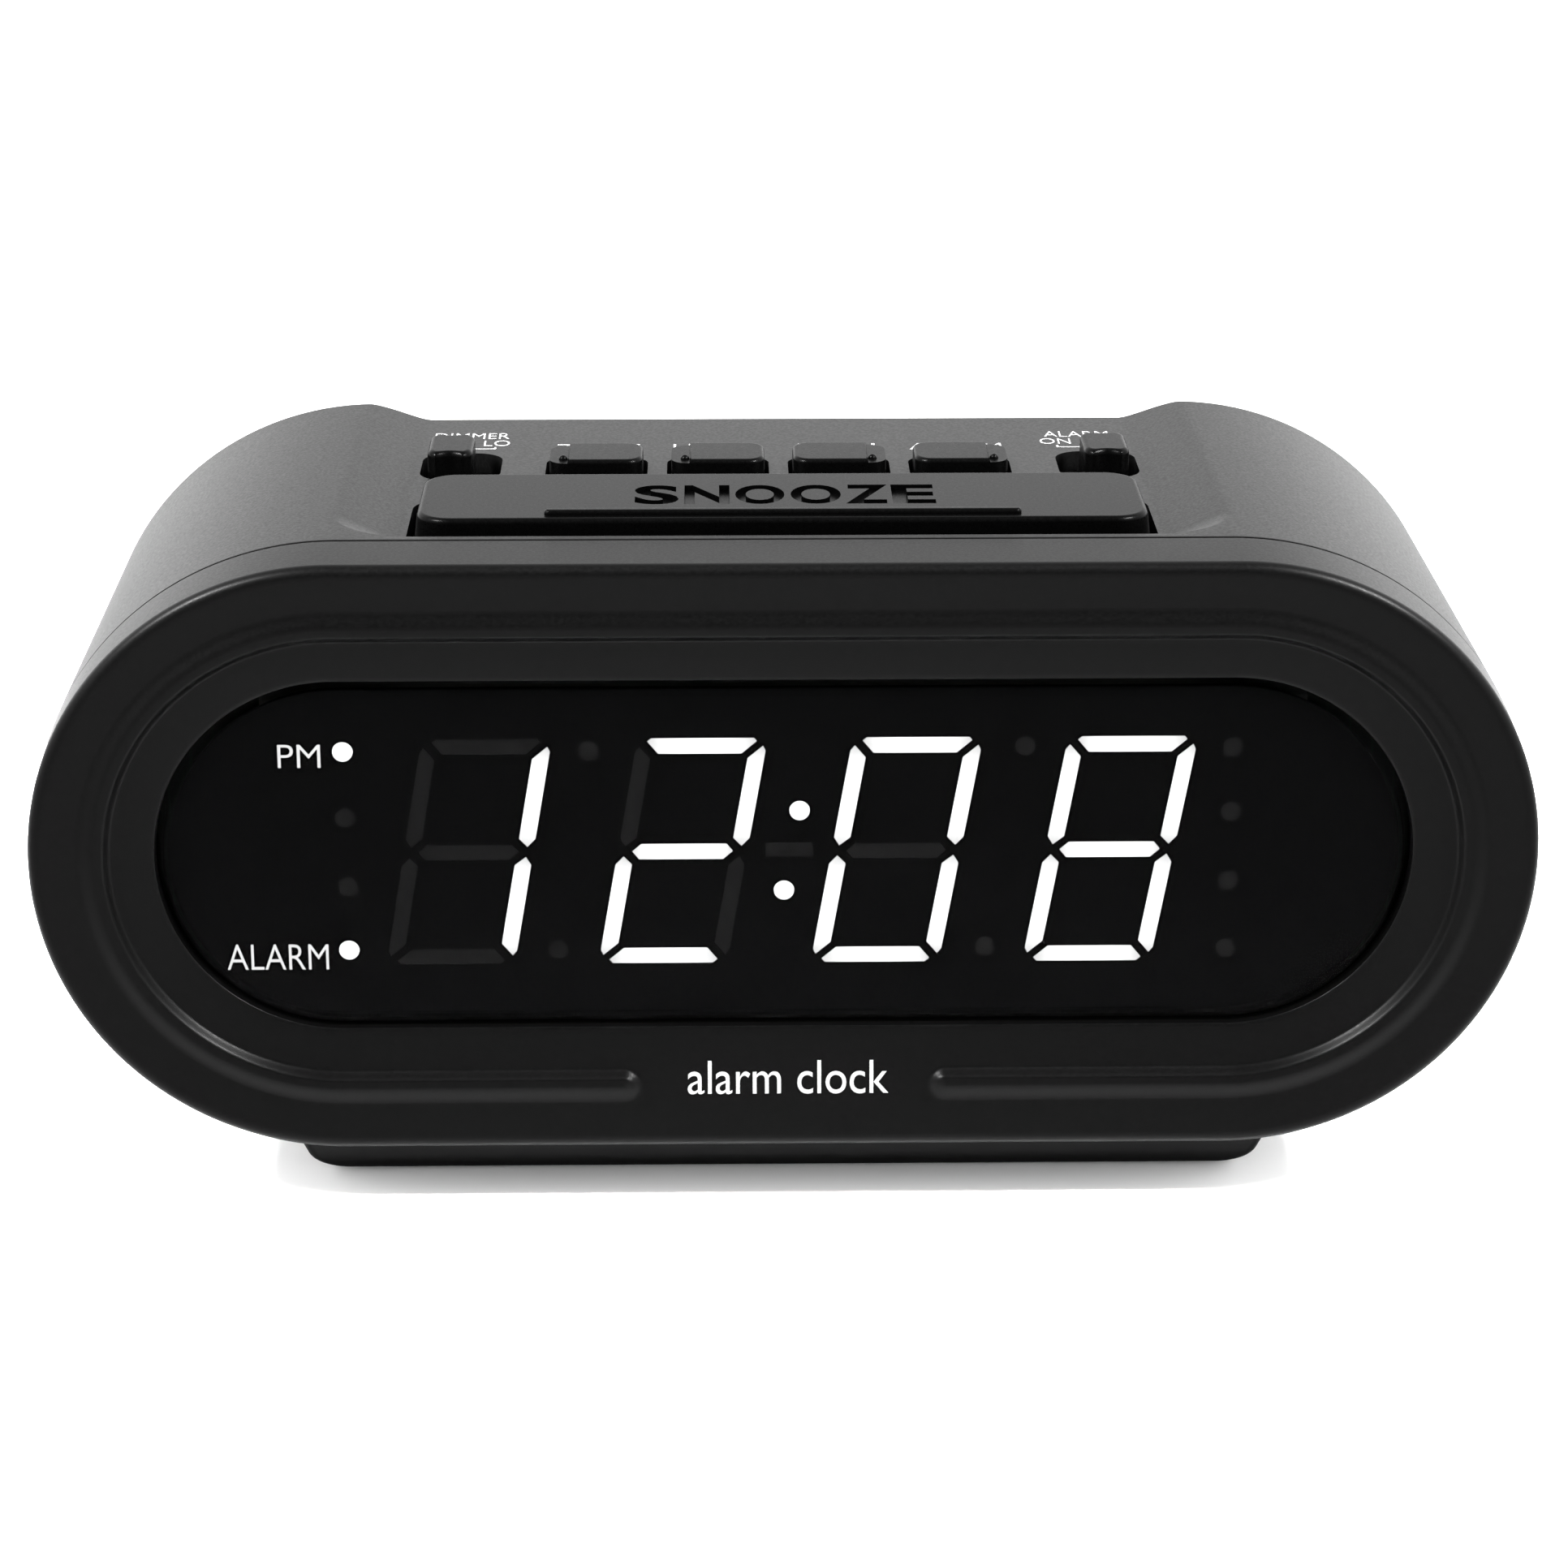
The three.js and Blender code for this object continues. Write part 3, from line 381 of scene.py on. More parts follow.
def rounding(low, high, r, steps=6):
    """(height, inset) pairs from low to high, with the top edge rounded by r."""
    turns = [HALF_PI * i / steps for i in range(steps + 1)]
    return [(low, 0.0)] + [(high - r + r * math.sin(a), r - r * math.cos(a)) for a in turns]


def form(points, faces):
    """A closed mesh as a working object in millimetres."""
    mesh = bpy.data.meshes.new("form")
    mesh.from_pydata(points, [], faces)
    return tidy(mesh)


def tidy(mesh):
    """A working object from mesh, with coincident points merged and faces turned outwards."""
    work = bmesh.new()
    work.from_mesh(mesh)
    bmesh.ops.remove_doubles(work, verts=work.verts, dist=1e-4)
    bmesh.ops.recalc_face_normals(work, faces=work.faces)
    work.to_mesh(mesh)
    work.free()
    obj = bpy.data.objects.new("form", mesh)
    bpy.context.scene.collection.objects.link(obj)
    return obj


def skin(loops, ring=False):
    """A closed solid through loops of equal point count, or a ring of them without ends."""
    n, count = len(loops[0]), len(loops)
    faces = []
    for k in range(count if ring else count - 1):
        a, b = k * n, (k + 1) % count * n
        faces += [(a + i, a + (i + 1) % n, b + (i + 1) % n, b + i) for i in range(n)]
    if not ring:
        faces += [tuple(range(n)), tuple(range((count - 1) * n, count * n))]
    return form([p for loop in loops for p in loop], faces)


def loft_z(levels):
    """Levels are (z, outline in X and Y)."""
    return skin([[(x, y, z) for x, y in outline] for z, outline in levels])


def loft_y(levels):
    """Levels are (y, outline in X and Z)."""
    return skin([[(x, y, z) for x, z in outline] for y, outline in levels])


def box(x0, x1, y0, y1, z0, z1, r=0.0, steps=3):
    """A box whose upright corners and upper and lower edges are rounded by r."""
    if r == 0:
        return loft_z([(z, [(x1, y1), (x0, y1), (x0, y0), (x1, y0)]) for z in (z0, z1)])
    upper = rounding((z0 + z1) / 2, z1, r, steps)[1:]
    lower = [(z0 + z1 - z, inset) for z, inset in reversed(upper)]
    return loft_z([
        (z, rounded_rect(x0 + i, x1 - i, y0 + i, y1 - i, max(r - i, 0.02), steps))
        for z, i in lower + upper
    ])


def turned(profile, sides=48):
    """A solid turned about Z: profile is (radius, z) from the axis to the axis."""
    loops = []
    for i in range(sides):
        a = 2 * math.pi * i / sides
        loops.append([(r * math.cos(a), r * math.sin(a), z) for r, z in profile])
    return skin(loops, ring=True)


def turned_along(axis, x, y, z, profile, sides=48):
    """turned(), set at (x, y, z) with its own Z along +X, +Y or +Z."""
    turn = {
        "x": Matrix.Rotation(HALF_PI, 4, "Y"),
        "y": Matrix.Rotation(-HALF_PI, 4, "X"),
        "z": Matrix.Identity(4),
    }
    obj = turned(profile, sides)
    obj.data.transform(Matrix.Translation((x, y, z)) @ turn[axis])
    return obj


def rod(axis, x, y, z, r, low, high, sides=48):
    """A plain round bar along an axis, from low to high past (x, y, z)."""
    return turned_along(axis, x, y, z, [(0, low), (r, low), (r, high), (0, high)], sides)


def tube(path, r, sides=10):
    """A round wire along a path of vectors."""
    loops = []
    for i, point in enumerate(path):
        ahead = path[min(i + 1, len(path) - 1)] - path[max(i - 1, 0)]
        side = ahead.cross(Vector((1, 0, 0))).normalized()
        up = side.cross(ahead).normalized()
        turns = [2 * math.pi * k / sides for k in range(sides)]
        loops.append([tuple(point + r * (math.cos(a) * side + math.sin(a) * up)) for a in turns])
    return skin(loops)


def combine(target, operation, tools):
    """Applies one boolean after another to target and drops the tools."""
    for tool in tools:
        modifier = target.modifiers.new("boolean", "BOOLEAN")
        modifier.operation = operation
        modifier.solver = "MANIFOLD"
        modifier.object = tool
    ready = target.evaluated_get(bpy.context.evaluated_depsgraph_get())
    mesh = bpy.data.meshes.new_from_object(ready)
    target.modifiers.clear()
    old = target.data
    target.data = mesh
    bpy.data.meshes.remove(old)
    for tool in tools:
        bpy.data.meshes.remove(tool.data)
    return target


def add(target, *tools):
    return combine(target, "UNION", tools)


def cut(target, *tools):
    return combine(target, "DIFFERENCE", tools)


def common(target, *tools):
    return combine(target, "INTERSECT", tools)


def group(*objs):
    """Several separate closed shells as one working object."""
    work = bmesh.new()
    for obj in objs:
        work.from_mesh(obj.data)
    mesh = bpy.data.meshes.new("form")
    work.to_mesh(mesh)
    work.free()
    for obj in objs:
        bpy.data.meshes.remove(obj.data)
    joined = bpy.data.objects.new("form", mesh)
    bpy.context.scene.collection.objects.link(joined)
    return joined


def smooth(obj, angle):
    obj.data.shade_smooth()
    obj.data.set_sharp_from_angle(angle=math.radians(angle))
    weighted = obj.modifiers.new("normals", "WEIGHTED_NORMAL")
    weighted.keep_sharp = True


def piece(obj, name, look, body="case", nodes=(), angle=32):
    """Makes a working object a named piece of body, in place of the CAD's nodes."""
    obj.name = name
    obj.data.name = name
    obj.data.transform(TO_ROW)
    obj.data.materials.clear()
    obj.data.materials.append(look.material)
    smooth(obj, angle)
    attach(obj, body)
    if nodes:
        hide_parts(*nodes)
    return obj


def word(text, width, height, thick, bold=0.0):
    """Solid lettering centred on X, with its baseline on Y = 0 and its back on Z = 0."""
    curve = bpy.data.curves.new("word", "FONT")
    curve.body = text
    curve.extrude = 0.5
    curve.offset = bold
    curve.resolution_u = 6
    holder = bpy.data.objects.new("word", curve)
    bpy.context.scene.collection.objects.link(holder)
    ready = holder.evaluated_get(bpy.context.evaluated_depsgraph_get())
    mesh = bpy.data.meshes.new_from_object(ready)
    bpy.data.objects.remove(holder)
    xs, ys, zs = zip(*(v.co for v in mesh.vertices))
    scales = [size / (max(c) - min(c)) for size, c in zip((width, height, thick), (xs, ys, zs))]
    middle_bottom = ((max(xs) + min(xs)) / 2, min(ys), min(zs))
    mesh.transform(Matrix.Diagonal((*scales, 1)) @ Matrix.Translation([-c for c in middle_bottom]))
    return tidy(mesh)


def stand(obj, x, y, z, lean=0.0):
    """Turns lettering to face the front, with its middle bottom at (x, y, z)."""
    obj.data.transform(Matrix.Translation((x, y, z)) @ Matrix.Rotation(HALF_PI - lean, 4, "X"))
    return obj


def lay(obj, x, y, z):
    obj.data.transform(Matrix.Translation((x, y, z)))
    return obj


# ---- Front bezel ----
BEAD_HEIGHT = 0.75
BEAD_MIDDLE = 23.4
BEAD_END = 15.65
BEAD_FOOT = 21.65
BEAD_RISE = 0.85
BEAD_CREST = 23.1
BEAD_FALL = 1.9
CASE_POST_R = 3.1
PANEL_POST_R = 2.6
SCREW_CORE_R = 1.75
SMALL_SCREW_R = 1.3


def face_y(r):
    """The dished face's depth at a distance r from the pill's axis."""
    return DISH * (FACE_R - EDGE_R - r) / (FACE_R - EDGE_R - WINDOW_R)


def swell(t):
    """A smooth step from 0 to 1 as t goes from 0 to 1."""
    t = min(max(t, 0.0), 1.0)
    return t * t * (3 - 2 * t)


def bead_section(r):
    return BEAD_HEIGHT * swell((r - BEAD_FOOT) / BEAD_RISE) * (1 - swell((r - BEAD_CREST) / BEAD_FALL))


def bead(r, end):
    """The raised moulding's height; end is the distance past its end's centre, in the lower gap."""
    if end <= 0:
        return bead_section(r)
    reach = math.hypot(end, r - BEAD_MIDDLE)
    outward = (1 + (r - BEAD_MIDDLE) / reach) / 2
    inner, outer = (bead_section(BEAD_MIDDLE + way * reach) for way in (-1, 1))
    return (1 - outward) * inner + outward * outer


def bezel_stations():
    """(x, direction x, direction z) round the pill, closest together at the moulding's two ends."""
    turns = [-HALF_PI + math.pi * i / 96 for i in range(97)]
    right = [(CASE_SPAN, math.cos(a), math.sin(a)) for a in turns]
    top = [(CASE_SPAN * (1 - i / 6), 0.0, 1.0) for i in range(1, 12)]
    left = [(-x, -c, -s) for x, c, s in right]
    dense = [12 + 0.25 * i for i in range(25)]
    sparse = [-38, -32, -26, -21, -8, -4, 0, 4, 8, 21, 26, 32, 38]
    bottom = [(x, 0.0, -1.0) for x in sorted(sparse + dense + [-x for x in dense])]
    return right + top + left + bottom


def front_bezel():
    edge = 0.12
    profile = [(INNER_R, SEAM), (INNER_R, LIP_BACK), (WINDOW_R, LIP_BACK), (WINDOW_R, DISH + edge)]
    for a in (0.5, 1.0):
        profile.append((WINDOW_R + edge * (1 - math.cos(a)), DISH + edge * (1 - math.sin(a))))
    dish = [18, 18.5, 19.5, 20.5, 21.3] + [21.6 + 0.1 * i for i in range(37)] + [25.6, 26.5, 27.5, 28.1]
    profile += [(r, face_y(r)) for r in dish]
    turns = [HALF_PI * i / 8 for i in range(9)]
    rim = FACE_R - EDGE_R
    profile += [(rim + EDGE_R * math.sin(a), EDGE_R * (1 - math.cos(a))) for a in turns]
    profile += [(CASE_R - 0.01, SEAM - 0.2), (CASE_R - 0.06, SEAM - 0.05), (CASE_R - 0.2, SEAM)]
    loops = []
    for x, nx, nz in bezel_stations():
        end = BEAD_END - abs(x) if nz == -1.0 and nx == 0.0 else 0
        rise = [bead(r, end) if 21.3 < r < 25.6 and y < DISH else 0 for r, y in profile]
        loops.append([(x + nx * r, y - h, nz * r) for (r, y), h in zip(profile, rise)])
    ring = skin(loops, ring=True)
    start = LIP_BACK - 0.5
    posts = [rod("y", x, 0, z, CASE_POST_R, start, POST_BACK) for x, z in POSTS]
    holes = [rod("y", x, 0, z, SCREW_CORE_R, 46, POST_BACK + 1) for x, z in POSTS]
    for x in (-PANEL_SCREW_X, PANEL_SCREW_X):
        posts.append(rod("y", x, 0, 0, PANEL_POST_R, start, PANEL_Y - GAP))
        holes.append(rod("y", x, 0, 0, SMALL_SCREW_R, 6, PANEL_Y))
    return cut(add(ring, *posts), *holes)


# ---- Rear shell ----
def tray():
    """The recess for the controls, open at the back, with a small fillet at its foot."""
    behind = DEPTH + 30
    # (share of the recess's height, how far the wall stands in from its slope)
    foot = [(0.0, 0.5), (0.04, 0.22), (0.12, 0.06), (0.3, 0.0)]
    brim = [(0.6, 0.0), (0.85, -0.02), (0.95, -0.12), (1.0, -0.3), (1.8, -0.5)]
    loops = []
    for t, inset in foot + brim:
        lean = min(t, 1.0)
        half = TRAY_HALF_FLOOR + (TRAY_HALF_TOP - TRAY_HALF_FLOOR) * lean - inset
        front = TRAY_FRONT + 1.2 * (1 - lean) + inset
        outline = rounded_rect(-half, half, front, behind, 5 + 3 * lean - inset, 14)
        loops.append((TRAY_FLOOR + (CASE_R - TRAY_FLOOR) * t, outline))
    return loft_z(loops)


def hole(x, y, half_x, half_y, r):
    """A tool that opens the tray's floor for a control."""
    return loft_z([(z, rect_about(x, y, half_x, half_y, r)) for z in (20, 32)])


QUARTER = [HALF_PI * i / 8 for i in range(9)]


def pill_tube():
    """The shell's outer shape, with a soft front edge and a rounded back one."""
    r = 1.2
    levels = [(SHELL_FRONT, 0.12), (SHELL_FRONT + 0.05, 0.03), (SHELL_FRONT + 0.15, 0.0)]
    levels += [(DEPTH - r + r * math.sin(a), r * (1 - math.cos(a))) for a in QUARTER]
    return loft_y([(y, pill(CASE_R - inset)) for y, inset in levels])


def plinth():
    soft = 1.4
    foot = [(soft * (1 - math.sin(a)), soft * (1 - math.cos(a))) for a in reversed(QUARTER)]
    levels = []
    for rise, inset in foot + [(-PLINTH_FOOT - 26, 0.0)]:
        half = 46.6 + 0.52 * rise - inset
        front, back = SHELL_FRONT + 0.3 * inset, DEPTH - 0.02 - inset
        levels.append((PLINTH_FOOT + rise, rounded_rect(-half, half, front, back, 1.2 + inset, 8)))
    return loft_z(levels)


def shell_lip():
    """The ring that enters the bezel, with its root in the shell's wall."""
    lip = loft_y([(y, pill(INNER_R - GAP)) for y in (5.6, SHELL_FRONT + 0.2)])
    add(lip, loft_y([(y, pill(INNER_R + 0.5)) for y in (SHELL_FRONT, 10.5)]))
    return cut(lip, loft_y([(y, pill(INNER_R - GAP - 1.4)) for y in (5, 11)]))


def shell_openings():
    """Everything that is cut from the finished walls, as separate tools."""
    behind = DEPTH + 1
    under = -37
    tools = [tray()]
    for x in KEY_PLACES.values():
        tools.append(hole(x, KEY_Y, KEY_HALF_X + KEY_GAP, KEY_HALF_Y + KEY_GAP, 2.0))
    for x in (-SLOT_X, SLOT_X + ALARM_SLOT_SHIFT):
        tools.append(hole(x, SLOT_Y, SLOT_HALF_X, SLOT_HALF_Y, SLOT_R))
    bar_half_y = BAR_BACK - BAR_POST_Y + BAR_GAP
    tools.append(hole(0, BAR_POST_Y, BAR_HALF + BAR_GAP + 0.35, bar_half_y, 3.4))
    tools.append(box(BAY["left"], BAY["right"], BAY["front"], BAY["back"], PLINTH_FOOT - 1, BAY["roof"]))
    way = DOOR["half"] + GAP
    groove = DOOR["lip_half"] + GAP
    start, top = DOOR["front"] - GAP, DOOR["top"] + GAP
    tools.append(box(-way, way, start, behind, under, top))
    tools.append(box(-groove, groove, start, behind, DOOR["lip_low"] - GAP, top))
    tools += [rod("z", x, y, 0, FOOT_R + GAP, under, PLINTH_FOOT + 0.9) for x, y in FEET]
    tools += [rod("y", x, 0, z, 3.3, DEPTH - 2.2, behind) for x, z in POSTS]
    tools += [rod("y", x, 0, z, SCREW_CORE_R, POST_BACK - 1, DEPTH) for x, z in POSTS]
    screw_x, screw_y = BOARD_SCREW
    for x in (-screw_x, screw_x):
        tools.append(rod("z", x, screw_y, 0, SMALL_SCREW_R, BOARD_TOP, ROOF - 0.5))
    tools.append(rod("y", JACK[0], 0, JACK[1], 4.3, DEPTH - 4, behind))
    turns = [k * math.pi / 3 for k in range(6)]
    sounds = [(0, 0)] + [(5 * math.cos(a), 5 * math.sin(a)) for a in turns]
    tools += [rod("y", BUZZER[0] + x, 0, BUZZER[1] + z, 1.1, DEPTH - 4, behind, 24) for x, z in sounds]
    return tools


def rear_shell():
    shell = add(pill_tube(), plinth())
    hollow = loft_y([(y, pill(INNER_R)) for y in (SHELL_FRONT - 1, DEPTH - WALL)])
    plinth_hollow = loft_z([
        (PLINTH_FOOT + WALL, rounded_rect(-43.6, 43.6, SHELL_FRONT + WALL, DEPTH - WALL, 1, 4)),
        (-24, rounded_rect(-46, 46, SHELL_FRONT + WALL, DEPTH - WALL, 1, 4)),
    ])
    cut(shell, hollow, plinth_hollow)
    roof = box(-TRAY_HALF_TOP, TRAY_HALF_TOP, SHELL_FRONT, DEPTH - 1, ROOF, CASE_R - 1)
    common(roof, pill_tube())
    bay_half = WALL - BAY["left"]
    bay_low, bay_high = PLINTH_FOOT + 0.5, BAY["roof"] + 1.6
    bay_case = box(-bay_half, bay_half, BAY["front"] - WALL, DEPTH - 1, bay_low, bay_high)
    bosses = [rod("y", x, 0, z, 4.6, POST_BACK + GAP, DEPTH - 0.5) for x, z in POSTS]
    screw_x, screw_y = BOARD_SCREW
    for x in (-screw_x, screw_x):
        bosses.append(rod("z", x, screw_y, 0, 2.6, BOARD_TOP + GAP, ROOF + 1))
    add(shell, shell_lip(), roof, bay_case, *bosses)
    return cut(shell, *shell_openings())


# ---- Display ----
SOFT_TURNS = (1.57, 1.2, 0.8, 0.4, 0.0)


def display_window():
    r, lift, front, back = 16.95, -0.3, 2.95, 5.4
    soft = 0.25
    edge = [(front + soft * (1 - math.sin(a)), soft * (1 - math.cos(a))) for a in SOFT_TURNS]
    plateau = loft_y([(y, pill(r - inset, lift)) for y, inset in edge + [(back, 0.0)]])
    flange = loft_y([(y, pill(18.7)) for y in (4.2, back)])
    pocket = loft_y([(y, pill(r - 0.4, lift)) for y in (front + 1.1, back + 1)])
    return cut(add(plateau, flange), pocket)


def mirrored(outline, sx, sz):
    return [(sx * x, sz * z) for x, z in outline]


LEVEL = [(-4.9, 11.5), (-5.28, 11.14), (-4.03, 9.9), (4.03, 9.9), (5.28, 11.14), (4.9, 11.5)]
MIDDLE = [(-4.1, 0.8), (-4.88, 0), (-4.1, -0.8), (4.1, -0.8), (4.88, 0), (4.1, 0.8)]
UPRIGHT = [(6.23, 10.19), (5.89, 10.7), (4.63, 9.47), (4.63, 1.3), (5.58, 0.47), (6.23, 1.3)]
BARS = {
    "a": LEVEL,
    "g": MIDDLE,
    "d": mirrored(LEVEL, 1, -1),
    "b": UPRIGHT,
    "f": mirrored(UPRIGHT, -1, 1),
    "c": mirrored(UPRIGHT, 1, -1),
    "e": mirrored(UPRIGHT, -1, -1),
}
TIME = ["bc", "abged", "abcdef", "abcdefg"]  # the lit bars of 12:08
LAMPS = [(1.43, 3.75), (-0.06, -4.38), (-42.1, 9.9), (-42.1, -10.35)]
LAMP_R = 0.97
# Lamps and a dash that stay unlit and show faintly in the window
UNUSED_LAMPS = [(42.8, 10.0), (42.8, 3.45), (42.8, -3.6), (42.8, -10.6), (-42.06, 3.24)]
UNUSED_LAMPS += [(-42.0, -3.8), (-18.7, 9.9), (-21.9, -10.4), (22.95, 10.2), (19.4, -10.3)]
DASH = (-1.85, 2.7, -0.9, 0.5)


def bar(outline, place, front, back, size=0.985):
    """One bar of a digit as a slanted slab, size being its share of its well."""
    centre = [sum(p[i] for p in outline) / len(outline) for i in (0, 1)]
    placed = []
    for x, z in outline:
        x, z = (a + (b - a) * size for a, b in zip(centre, (x, z)))
        placed.append((place + x + SLANT * z, DIGIT_Z + z))
    return loft_y([(front, placed), (back, placed)])


def light_mask():
    """The black plate in front of the light wells, pierced for each bar and lamp."""
    front, back = MASK_FRONT, 5.15
    plate = loft_y([(y, pill(16.4, -0.3)) for y in (front, back)])
    places = [DIGIT_FIRST + k * DIGIT_PITCH for k in range(len(TIME))]
    wells = []
    for place in places:
        wells += [bar(outline, place, front - 1, back + 1, 1.0) for outline in BARS.values()]
    wells += [rod("y", x, 0, z, LAMP_R + 0.03, front - 1, back + 1, 32) for x, z in LAMPS]
    return cut(plate, *wells)


def with_glow(obj, half_length, slices=10):
    """Splits a bar across its length and stores how bright it is at each point."""
    work = bmesh.new()
    work.from_mesh(obj.data)
    points = [v.co.copy() for v in work.verts]
    middle = sum(points, Vector()) / len(points)
    upright = max(p.z for p in points) - min(p.z for p in points) > 5
    along = Vector((SLANT, 0, 1)).normalized() if upright else Vector((1, 0, 0))
    for k in range(1, slices):
        where = middle + along * half_length * (2 * k / slices - 1)
        geometry = work.verts[:] + work.edges[:] + work.faces[:]
        bmesh.ops.bisect_plane(work, geom=geometry, plane_co=where, plane_no=along)
    layer = work.verts.layers.float.new("glow")
    for v in work.verts:
        t = abs((v.co - middle).dot(along)) / half_length
        v[layer] = 1 - swell((t - 0.35) / 0.75)
    work.to_mesh(obj.data)
    work.free()
    return obj


def full_glow(obj):
    layer = obj.data.attributes.new("glow", "FLOAT", "POINT")
    layer.data.foreach_set("value", [1.0] * len(obj.data.vertices))
    return obj


def segments():
    """The lit bars and lamps as one object, and the unlit ones as another."""
    front, back = MASK_FRONT + 0.03, 5.1
    shown, dark = [], []
    for k, letters in enumerate(TIME):
        place = DIGIT_FIRST + k * DIGIT_PITCH
        for letter, outline in BARS.items():
            made = bar(outline, place, front, back)
            if letter in letters:
                shown.append(with_glow(made, 5.2))
            else:
                dark.append(made)
    for x, z in LAMPS:
        shown.append(full_glow(rod("y", x, 0, z, LAMP_R, front, back, 32)))
    thin_front, thin_back = MASK_FRONT - 0.02, MASK_FRONT + 0.05
    for x, z in UNUSED_LAMPS:
        dark.append(rod("y", x, 0, z, LAMP_R, thin_front, thin_back, 24))
    left, right, low, high = DASH
    dark.append(box(left, right, thin_front, thin_back, low, high, 0.02))
    return group(*shown), group(*dark)


# ---- Controls ----
SNOOZE = [  # letter, middle, width
    ("S", -12.5, 4.3),
    ("N", -7.6, 4.4),
    ("O", -2.45, 4.8),
    ("O", 3.0, 4.9),
    ("Z", 7.95, 4.2),
    ("E", 12.5, 4.2),
]
FLANGE_X = 5.7


def snooze_bar():
    """The bar's ends lean out towards its foot; the word is engraved and the rib stands up."""
    levels = []
    for z, inset in rounding(FLANGE_LOW, BAR_TOP, 0.5, 8):
        end = BAR_HALF + 0.4 - 0.75 * (z - FLANGE_LOW) / (BAR_TOP - FLANGE_LOW) - inset
        levels.append((z, rounded_rect(-end, end, BAR_FRONT + inset, BAR_BACK - inset, 3.3 - inset, 14)))
    cap = loft_z(levels)
    inner = BAR_HALF - 2
    pocket = box(-inner, inner, BAR_FRONT + 2, BAR_BACK - 2, FLANGE_LOW - 1, BAR_TOP - 2.2)
    letters = []
    for letter, x, width in SNOOZE:
        letters.append(lay(word(letter, width, 6.9, 3, 0.035), x + 0.3, 17.7, BAR_TOP - 0.6))
    cut(cap, pocket, *letters)
    posts = [rod("z", s * BAR_POST_X, BAR_POST_Y, 0, 2.4, FLANGE_LOW, BAR_TOP - 2) for s in (-1, 1)]
    hooks = []
    for s in (-1, 1):
        ends = sorted((s * (BAR_HALF - 1), s * (BAR_HALF + 1.6)))
        hooks.append(box(*ends, BAR_POST_Y - 5, BAR_POST_Y + 5, FLANGE_LOW, FLANGE_HIGH))
    rib_low = BAR_FRONT + 1.2
    rib = loft_z([
        (z, rounded_rect(-22.9 + i, 22.9 - i, rib_low + i, rib_low + 1.1 - i, 0.5 - i, 8))
        for z, i in rounding(BAR_TOP - 0.5, BAR_TOP + 0.5, 0.35, 5)
    ])
    return add(cap, *posts, *hooks, rib)


def key(x):
    """A key whose outer strip is lower and carries a small dot to feel."""
    side = math.copysign(1, x)
    step = 0.35
    levels = [(FLANGE_LOW, 0.0), (KEY_TOP - 1.4, 0.1)]
    levels += [(z, 0.12 + inset) for z, inset in rounding(FLANGE_LOW, KEY_TOP, 0.45)[1:]]
    cap = loft_z([
        (z, rect_about(x, KEY_Y, KEY_HALF_X - i, KEY_HALF_Y - i, 1.8 - 0.8 * i)) for z, i in levels
    ])
    strip = []
    for z, start in ((KEY_TOP - step, 2.9), (KEY_TOP + step, 2.5)):
        low, high = sorted((x + side * start, x + side * 8))
        strip.append((z, [(high, KEY_Y + 6), (low, KEY_Y + 6), (low, KEY_Y - 6), (high, KEY_Y - 6)]))
    cut(cap, loft_z(strip))
    flange = box(x - FLANGE_X, x + FLANGE_X, KEY_Y - 4.9, KEY_Y + 4.9, FLANGE_LOW, FLANGE_HIGH)
    r = 0.45
    dome = [(r * math.cos(a), r * math.sin(a)) for a in [HALF_PI * i / 6 for i in range(6)]]
    profile = [(0, -0.3), (r, -0.3), *dome, (0, r)]
    dot = turned_along("z", x + side * 3.35, KEY_Y - KEY_HALF_Y + 1.8, KEY_TOP - step, profile, 20)
    return add(cap, flange, dot)


def slide_knob(side):
    """A knob whose front and back are hollowed for a fingertip."""
    x = side * (SLOT_X + KNOB_SHIFT)
    hollow = 0.6

    def outline(inset):
        half_x, half_y = KNOB_HALF_X - inset, KNOB_HALF_Y - inset
        points = rect_about(0, 0, half_x, half_y, 1.5 - 0.8 * inset)
        out = []
        for i, (px, py) in enumerate(points):
            nxt = points[(i + 1) % len(points)]
            steps = 8 if abs(px - nxt[0]) > 1 else 1
            for k in range(steps):
                qx = px + (nxt[0] - px) * k / steps
                qy = py + (nxt[1] - py) * k / steps
                across = max(0.0, 1 - (qx / (KNOB_HALF_X - 0.9)) ** 2)
                bow = hollow * across * (abs(qy) / KNOB_HALF_Y) ** 2
                out.append((x + qx, KNOB_Y + qy - math.copysign(bow, qy)))
        return out

    grip = loft_z([(z, outline(inset)) for z, inset in rounding(FLANGE_LOW, KNOB_TOP, 0.6, 7)])
    front, back = SLOT_Y - SLOT_FLANGE_HALF_Y, SLOT_Y + SLOT_FLANGE_HALF_Y
    flange = box(x - FLANGE_X, x + FLANGE_X, front, back, FLANGE_LOW, FLANGE_HIGH)
    return add(grip, flange)


# ---- Underside and back ----
def battery_door():
    half, lip_half, front, top = DOOR["half"], DOOR["lip_half"], DOOR["front"], DOOR["top"]
    back = DEPTH - 0.1
    plate = box(-half, half, front, back, PLINTH_FOOT, top, 0.35)
    lips = box(-lip_half, lip_half, front, back, DOOR["lip_low"], top, 0.2)
    grips = [rod("x", 0, DEPTH - 5.6 - 2 * k, PLINTH_FOOT, 0.5, -7, 7, 16) for k in range(4)]
    return cut(add(plate, lips), *grips)


